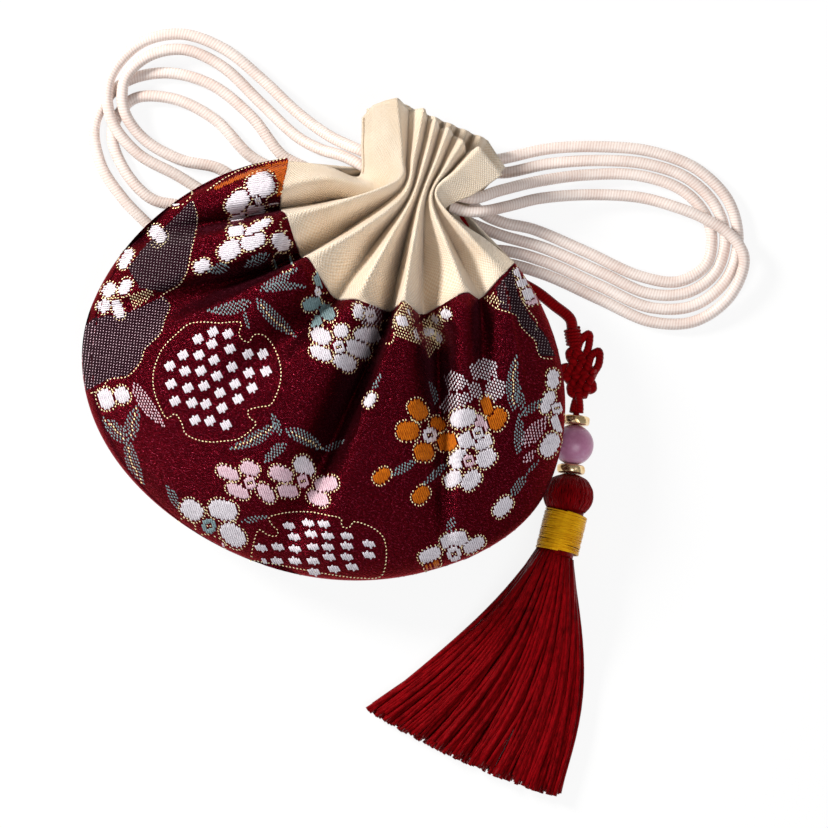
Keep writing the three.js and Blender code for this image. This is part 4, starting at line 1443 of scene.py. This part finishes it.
def gold_line(panel, corners, closed=False):
    """Gold stitches one after another along a smooth line through these places."""
    places = [Vector((x, y, 0)) for x, y in corners]
    if closed:
        places.append(places[0].copy())
    path, _ = catmull(places, LINE_SPACING)
    for here, ahead in zip(path, path[1:]):
        turn = math.degrees(math.atan2(ahead.y - here.y, ahead.x - here.x))
        panel.oval("gold", Vector((here.x, here.y)), GOLD_STITCH, turn + luck.uniform(*LINE_TURN))


def ground(panel, color, corners):
    """A thin patch of plain cloth under the stitches of a polygon."""
    xs, ys = zip(*corners)
    columns, rows = (int((max(v) - min(v)) / GROUND_STEP) + 1 for v in (xs, ys))
    points, faces, uv = panel.stitches(color)
    known = {}

    def grid(i, j):
        return Vector((min(xs) + i * GROUND_STEP, min(ys) + j * GROUND_STEP))

    def corner(i, j):
        if (i, j) not in known:
            place = grid(i, j)
            found = panel.touch(place)
            known[i, j] = len(points) if found else None
            if found:
                points.append(found[0] + found[1] * GROUND_LIFT)
                uv.append((place.x, place.y))
        return known[i, j]

    for i in range(columns):
        for j in range(rows):
            if inside_polygon(grid(i + 0.5, j + 0.5), corners):
                face = [corner(i, j), corner(i, j + 1), corner(i + 1, j + 1), corner(i + 1, j)]
                if None not in face:
                    faces.append(face if panel.front else face[::-1])


def flower_heart(panel, color, x, y, radius):
    """A blossom's middle: a ring of threads round a few gold stitches."""
    centre = Vector((x, y))
    hole = HEART_HOLE * radius
    fill(panel, color, centre, radius, WEAVE, lambda place: hole < (place - centre).length < radius)
    for turn in (0, 180):
        panel.oval("gold", centre + picture_direction(turn) * (hole * 0.5), GOLD_STITCH, WEAVE)


# Petals as (x, y, length, width, turn)
SHOULDER_WEAVE = -8
SHOULDER_PETALS = [
    (261, 185, 28, 24, -20), (238, 202, 27, 18, -45), (276, 199.5, 16, 8, -25), (256, 212, 18, 14, 0),
    (238, 218, 16, 9, -30), (236, 231, 16, 11, -10), (257, 227, 30, 8, -28), (253, 241, 25, 15, -20),
    (230, 250, 24, 17, -35), (281, 242, 19, 15, 45), (288, 225, 11, 9, 40), (292, 236, 11, 9, 60),
    (202, 266, 16, 12, -20), (181, 198, 22, 8, -40), (158, 234, 18, 13, 45), (126, 259, 20, 9, -60),
    (125, 287, 17, 10, -60), (104, 306, 13, 11, -40), (118, 309, 19, 9, 70), (109, 290, 14, 11, -45),
]
WHITE_PETALS = [
    (321, 336, 20, 15, 35), (341, 331, 14, 12, 0), (358, 349, 26, 15, 25), (321, 353, 22, 12, 25),
    (345, 362, 22, 15, 30), (368, 335, 26, 15, 0), (387, 332, 19, 9, 80), (358, 311, 14, 8, 80),
    (398, 302, 9, 6, -10), (402, 321, 13, 9, 30), (413, 312, 11, 8, 60), (417, 334, 10, 7, 60),
    (435, 319, 8, 6, 20), (429, 332, 9, 7, 20), (439, 338, 8, 6, 50), (446, 314, 10, 8, 70),
    (192, 510, 23, 17, 40), (223, 510, 28, 19, 15), (233, 535, 28, 18, 45), (106, 399, 20, 15, 70),
    (122, 395, 16, 13, 60), (370, 400, 14, 9, -55), (463, 418, 24, 18, -15), (467, 440, 18, 15, -30),
    (483, 442, 18, 13, -25), (459, 459, 20, 16, -45), (486, 458, 20, 16, -40), (453, 479, 18, 14, -40),
    (471, 480, 21, 15, -45), (553, 379, 18, 11, 90), (548, 402, 22, 11, -70), (559, 423, 18, 14, 60),
    (550, 445, 24, 16, -60), (503, 507, 22, 13, -50), (454, 540, 26, 15, -15), (474, 545, 22, 11, -30),
    (430, 555, 22, 12, -25), (519, 273, 10, 7, 45), (522, 283, 9, 8, 20), (528, 294, 12, 9, 70),
    (304, 467, 22, 16, 60),
]
PINK_PETALS = [
    (228, 473, 22, 11, 25), (250, 469, 18, 13, 30), (238, 491, 23, 11, 25), (266, 493, 21, 12, 45),
    (281, 474, 22, 14, 20), (326, 484, 23, 14, -8), (288, 491, 20, 12, 5), (318, 498, 21, 13, 25),
    (212, 543, 24, 10, 20), (187, 526, 14, 9, 40), (480, 424, 19, 12, 60), (532, 300, 8, 13, 80),
]
ORANGE_PETALS = [
    (418, 410, 21, 16, 60), (408, 431, 21, 18, 0), (424, 452, 18, 17, 0), (447, 442, 18, 17, 0),
    (438, 424, 15, 12, 30), (382, 476, 17, 12, -40), (421, 495, 18, 13, -50), (487, 406, 18, 11, 80),
    (497, 419, 21, 17, -60), (432, 564, 15, 9, -20),
]
TEAL_PETALS = [
    (283, 262, 17, 15, 20), (324, 281, 20, 16, 60), (312, 304, 17, 12, -20), (327, 312, 18, 13, 40),
    (317, 322, 18, 8, -65),
]

# Leaves as (stem x, stem y, tip x, tip y, width, bend)
TEAL_LEAVES = [
    (229, 266, 206, 272, 11, 0), (269, 254, 243, 268, 12, 0), (261, 287, 299, 267, 9, 2),
    (260, 291, 308, 287, 9, -3), (251, 301, 205, 311, 13, -3), (244, 309, 250, 330, 5, 1),
    (256, 299, 298, 338, 14, 2), (278, 423, 228, 450, 13, -3), (281, 435, 271, 412, 9, 0),
    (285, 430, 324, 450, 14, -2), (323, 450, 346, 439, 7, 1), (286, 443, 263, 464, 11, 1),
    (415, 461, 389, 477, 9, 0), (446, 464, 422, 486, 8, 0), (514, 411, 517, 353, 13, -3),
    (525, 413, 520, 384, 9, -2), (518, 454, 519, 412, 11, 1), (522, 416, 544, 398, 9, 0),
    (525, 476, 510, 498, 10, 0), (539, 460, 525, 476, 4, 0), (449, 531, 453, 517, 10, 0),
    (178, 508, 165, 484, 9, 1), (241, 522, 269, 516, 6, 0), (126, 442, 102, 418, 15, 1),
    (131, 440, 138, 404, 15, -2), (127, 440, 145, 486, 13, 3), (371, 392, 381, 372, 6, 1),
    (436, 404, 428, 380, 7, 2),
]
VEINED = {6, 7, 9, 14, 23, 24, 25}
BLUSH_LEAVES = [(133, 383, 166, 428, 14, 2), (523, 446, 548, 416, 16, 0), (524, 463, 535, 450, 9, 0)]
WHITE_MESH = [
    ((444, 376), (451, 371), (463, 373), (468, 381), (463, 391), (449, 391)),
    ((469, 367), (477, 359), (488, 358), (497, 364), (497, 374), (487, 380), (473, 379)),
    ((486, 383), (496, 376), (506, 382), (505, 396), (494, 402), (484, 396)),
    ((438, 405), (447, 394), (467, 393), (474, 400), (458, 410), (443, 413)),
    ((466, 384), (477, 382), (483, 389), (481, 399), (470, 397)),
    ((359, 307), (371, 304), (383, 311), (382, 323), (370, 328), (359, 321)),
]
CLOUDS = [
    (
        (192, 199), (196, 207), (198, 220), (194, 240), (189, 259), (186, 273), (179, 284), (162, 292),
        (140, 288), (128, 268), (145, 246), (168, 224),
    ),
    (
        (164, 296), (171, 305), (165, 319), (161, 334), (144, 350), (141, 361), (128, 375), (108, 379),
        (80, 394), (70, 372), (74, 338), (94, 318), (130, 312),
    ),
    (
        (496, 288), (513, 268), (518, 294), (530, 317), (546, 336), (555, 356), (538, 355), (538, 342),
        (520, 324), (515, 314), (501, 308),
    ),
]
# The left cloud's dots take the pink thread, lighter and pinker than the grey of the other two clouds:
# painted sheen on the side that faces the lamp.
CLOUD_DOTS = ("grey", "pink", "grey")
GOLD_PATCHES = [
    ((391, 308), (402, 300), (415, 303), (420, 318), (421, 346), (407, 341), (395, 335)),
    ((422, 319), (446, 313), (440, 346), (428, 361)),
    ((128, 296), (150, 288), (156, 294), (134, 310)),
    ((487, 297), (493, 291), (504, 303), (498, 308)),
]
RUST_PATCH = (
    (288, 160), (286, 172), (283, 194), (277, 196), (279, 184), (275, 172), (262, 173), (240, 179),
    (214, 190), (214, 187), (238, 175), (262, 166),
)
GOLD_LINES = [
    (
        (193, 202), (197, 215), (196, 230), (191, 252), (187, 272), (179, 285), (167, 292), (161, 297),
        (170, 305), (165, 319), (160, 334), (145, 349), (141, 361), (128, 376), (108, 380), (102, 389),
        (88, 394),
    ),
    (
        (485, 298), (496, 308), (511, 313), (518, 317), (520, 325), (527, 333), (535, 341), (537, 349),
        (541, 357), (555, 359),
    ),
    ((519, 285), (522, 300), (530, 312), (537, 322), (535, 333)),
    ((159, 232), (164, 243), (157, 248), (149, 243)),
    ((284, 158.5), (266, 162.5), (245, 168), (225, 178), (205, 192)),
]

# Dotted roundels: a notched gold outline and rows of white dots
ROUNDEL_OUTLINES = [
    (
        (173, 337), (189, 324), (203, 322), (219, 323), (241, 323), (239, 334), (243, 340), (249, 342),
        (254, 335), (263, 335), (272, 344), (279, 360), (281, 376), (277, 393), (270, 405), (259, 407),
        (248, 411), (250, 418), (256, 423), (252, 429), (238, 439), (225, 441), (211, 442), (198, 440),
        (185, 433), (182, 424), (175, 414), (167, 418), (159, 405), (154, 390), (153, 376), (155, 366),
        (160, 353), (166, 344),
    ),
    (
        (251, 560), (253, 546), (259, 530), (268, 535), (276, 536), (278, 531), (273, 526), (269, 518),
        (279, 514), (293, 512), (311, 512), (326, 515), (341, 519), (342, 526), (346, 528), (351, 526),
        (353, 522), (364, 524), (376, 530), (383, 537), (386, 547), (386, 561), (381, 576), (359, 578),
    ),
]
ROUND_DOTS = [
    (213, 332), (228, 334), (198, 339), (212, 344), (230, 349), (248, 354), (263, 354), (183, 355),
    (199, 355), (214, 360), (232, 367), (249, 373), (266, 371), (170, 366), (185, 371), (201, 371),
    (217, 376), (235, 384), (252, 388), (171, 384), (188, 388), (204, 386), (220, 393), (238, 399),
    (175, 401), (192, 403), (206, 404), (222, 408), (195, 420), (210, 421), (226, 425),
]
ROUND_DOT = (9.6, 7.8, -35)
FLAT_DOTS = [
    (289, 526), (308, 523), (324, 524), (294, 537), (311, 534), (328, 536), (347, 536), (261, 548),
    (278, 547), (295, 549), (313, 547), (328, 547), (347, 546), (369, 544), (261, 561), (277, 561),
    (295, 561), (313, 561), (329, 557), (347, 557), (369, 555), (279, 573), (298, 574), (314, 572),
    (334, 569), (352, 567),
]
FLAT_DOT = (10.5, 5.6, 15)
DOT_WEAVE = 62
PETALS = {"white": WHITE_PETALS, "pink": PINK_PETALS, "orange": ORANGE_PETALS, "teal": TEAL_PETALS}
HEARTS = [
    ("white", 258, 201, 4), ("white", 339, 347, 6), ("teal", 209, 526, 7), ("pink", 250, 483, 6),
    ("pink", 303, 481, 6), ("white", 430, 435, 7), ("white", 478, 433, 5.5), ("pink", 469, 461, 5.5),
    ("white", 454, 554, 7), ("white", 557, 408, 5), ("white", 371, 316, 6), ("white", 318, 292, 4),
]


def embroider(panel):
    for patch, color in zip(CLOUDS, CLOUD_DOTS):
        ground(panel, "aubergine", patch)
        field(panel, color, patch, CLOUD_STITCH, CLOUD_PITCH, BRAID)
    for patch in WHITE_MESH:
        field(panel, "white", patch, WHITE_STITCH, WHITE_PITCH, WEAVE)
    for patch in GOLD_PATCHES:
        field(panel, "gold", patch, GOLD_STITCH, MESH_PITCH, WEAVE)
    field(panel, "rust", RUST_PATCH, MESH_STITCH, RUST_PITCH, WEAVE)
    ovals = [Oval(x, y, 2 * radius, 2 * radius, 0) for _, x, y, radius in HEARTS]
    blossoms = [(color, WEAVE, Oval(*shape)) for color, shapes in PETALS.items() for shape in shapes]
    blossoms += [("white", SHOULDER_WEAVE, Oval(*shape)) for shape in SHOULDER_PETALS]
    every = ovals + [oval for _, _, oval in blossoms]
    for color, weave, oval in blossoms:
        petal(panel, color, oval, weave, every, ovals)
        ovals.append(oval)
    for i, shape in enumerate(TEAL_LEAVES):
        leaf(panel, "teal", *shape, vein=i in VEINED)
    for shape in BLUSH_LEAVES:
        leaf(panel, "pink", *shape)
    for corners in GOLD_LINES:
        gold_line(panel, corners)
    for corners in ROUNDEL_OUTLINES:
        gold_line(panel, corners, closed=True)
    for places, dot in ((ROUND_DOTS, ROUND_DOT), (FLAT_DOTS, FLAT_DOT)):
        for x, y in places:
            petal(panel, "white", Oval(x, y, *dot), DOT_WEAVE)
    for heart in HEARTS:
        flower_heart(panel, *heart)


def embroidery_material(name, dark, light, roughness, metallic):
    g = Graph("thread_" + name)
    streak = g.noise(g.uv(0.9, 0.22), 1.0, 2.0, 0.6)
    color = g.ramp(streak, ((0.3, dark), (0.65, light)))
    g.bump(streak, 0.35, 0.08)
    return g.finish(
        color,
        Roughness=roughness,
        Metallic=metallic,
        Specular_IOR_Level=0.3,
        Specular_Tint=(*light, 1),
    )


THREAD_COLORS = {
    "white": ((0.5, 0.46, 0.51), (0.84, 0.8, 0.85), 0.5, 0.0),
    "pink": ((0.52, 0.32, 0.39), (0.8, 0.6, 0.67), 0.5, 0.0),
    "orange": ((0.27, 0.05, 0.004), (0.62, 0.165, 0.01), 0.45, 0.0),
    "teal": ((0.11, 0.17, 0.185), (0.27, 0.38, 0.4), 0.45, 0.0),
    "grey": ((0.2, 0.15, 0.16), (0.5, 0.42, 0.44), 0.5, 0.0),
    "aubergine": ((0.007, 0.002, 0.0035), (0.024, 0.007, 0.012), 0.75, 0.0),
    "gold": ((1.0, 0.72, 0.28), (1.0, 0.95, 0.66), 0.35, 0.1),
    "rust": ((0.3, 0.05, 0.006), (0.55, 0.12, 0.015), 0.5, 0.0),
}
panels = {"front": Panel(True), "back": Panel(False)}
for panel in panels.values():
    embroider(panel)
thread_materials = {name: embroidery_material(name, *look) for name, look in THREAD_COLORS.items()}
for side, panel in panels.items():
    for color, (points, faces, uv) in panel.sets.items():
        mesh_object(f"embroidery_{side}_{color}", points, faces, thread_materials[color], uv=uv)


# Stage, in metres: a soft white room, a low key lamp from the left and a broad fill, and a white floor
WORLD_LIGHT = 0.24
LAMP_TARGET = Vector((0.015, 0.01, 0.01))
FLOOR_HALF = 3.0
FLOOR_DROP = 0.0004
FLOOR_TONE = 0.95
FLOOR_GLOW = 0.88


def add_light(name, place, size, power, color):
    lamp = bpy.data.lights.new(name, "AREA")
    lamp.shape = "DISK"
    lamp.size = size
    lamp.energy = power
    lamp.color = color
    holder = bpy.data.objects.new(name, lamp)
    holder.location = place
    holder.rotation_euler = (LAMP_TARGET - Vector(place)).to_track_quat("-Z", "Y").to_euler()
    bpy.context.collection.objects.link(holder)


def make_stage():
    world = bpy.data.worlds.new("studio")
    bpy.context.scene.world = world
    world.use_nodes = True
    light = world.node_tree.nodes["Background"].inputs
    light["Color"].default_value = (1, 1, 1, 1)
    light["Strength"].default_value = WORLD_LIGHT
    add_light("key", (-0.6, 0.1, 0.44), 0.2, 7.0, (1.0, 0.97, 0.93))
    add_light("fill", (0.32, -0.12, 0.72), 0.5, 2.5, (0.96, 0.97, 1.0))
    mesh = bpy.data.meshes.new("floor")
    corners = [(x * FLOOR_HALF, y * FLOOR_HALF, 0) for x, y in ((-1, -1), (1, -1), (1, 1), (-1, 1))]
    mesh.from_pydata(corners, [], [(0, 1, 2, 3)])
    g = Graph("floor_white")
    diffuse = g.add("BsdfDiffuse", {"Color": (FLOOR_TONE, FLOOR_TONE, FLOOR_TONE, 1)})
    white = g.add("Emission", {"Color": (1, 1, 1, 1), "Strength": 1.0})
    rays = g.add("LightPath").outputs
    seen = rays["Is Camera Ray"]
    for kind in ("Is Glossy Ray", "Is Transmission Ray"):
        seen = g.math("MAXIMUM", seen, rays[kind])
    share = g.math("MULTIPLY", seen, FLOOR_GLOW)
    blend = g.add("MixShader", {0: share, 1: diffuse, 2: white})
    g.put(g.tree.nodes["Material Output"].inputs["Surface"], blend)
    mesh.materials.append(g.material)
    floor = bpy.data.objects.new("floor", mesh)
    floor.location = (0, 0, -FLOOR_DROP)
    bpy.context.collection.objects.link(floor)


make_stage()
bpy.context.scene.view_settings.view_transform = "Standard"
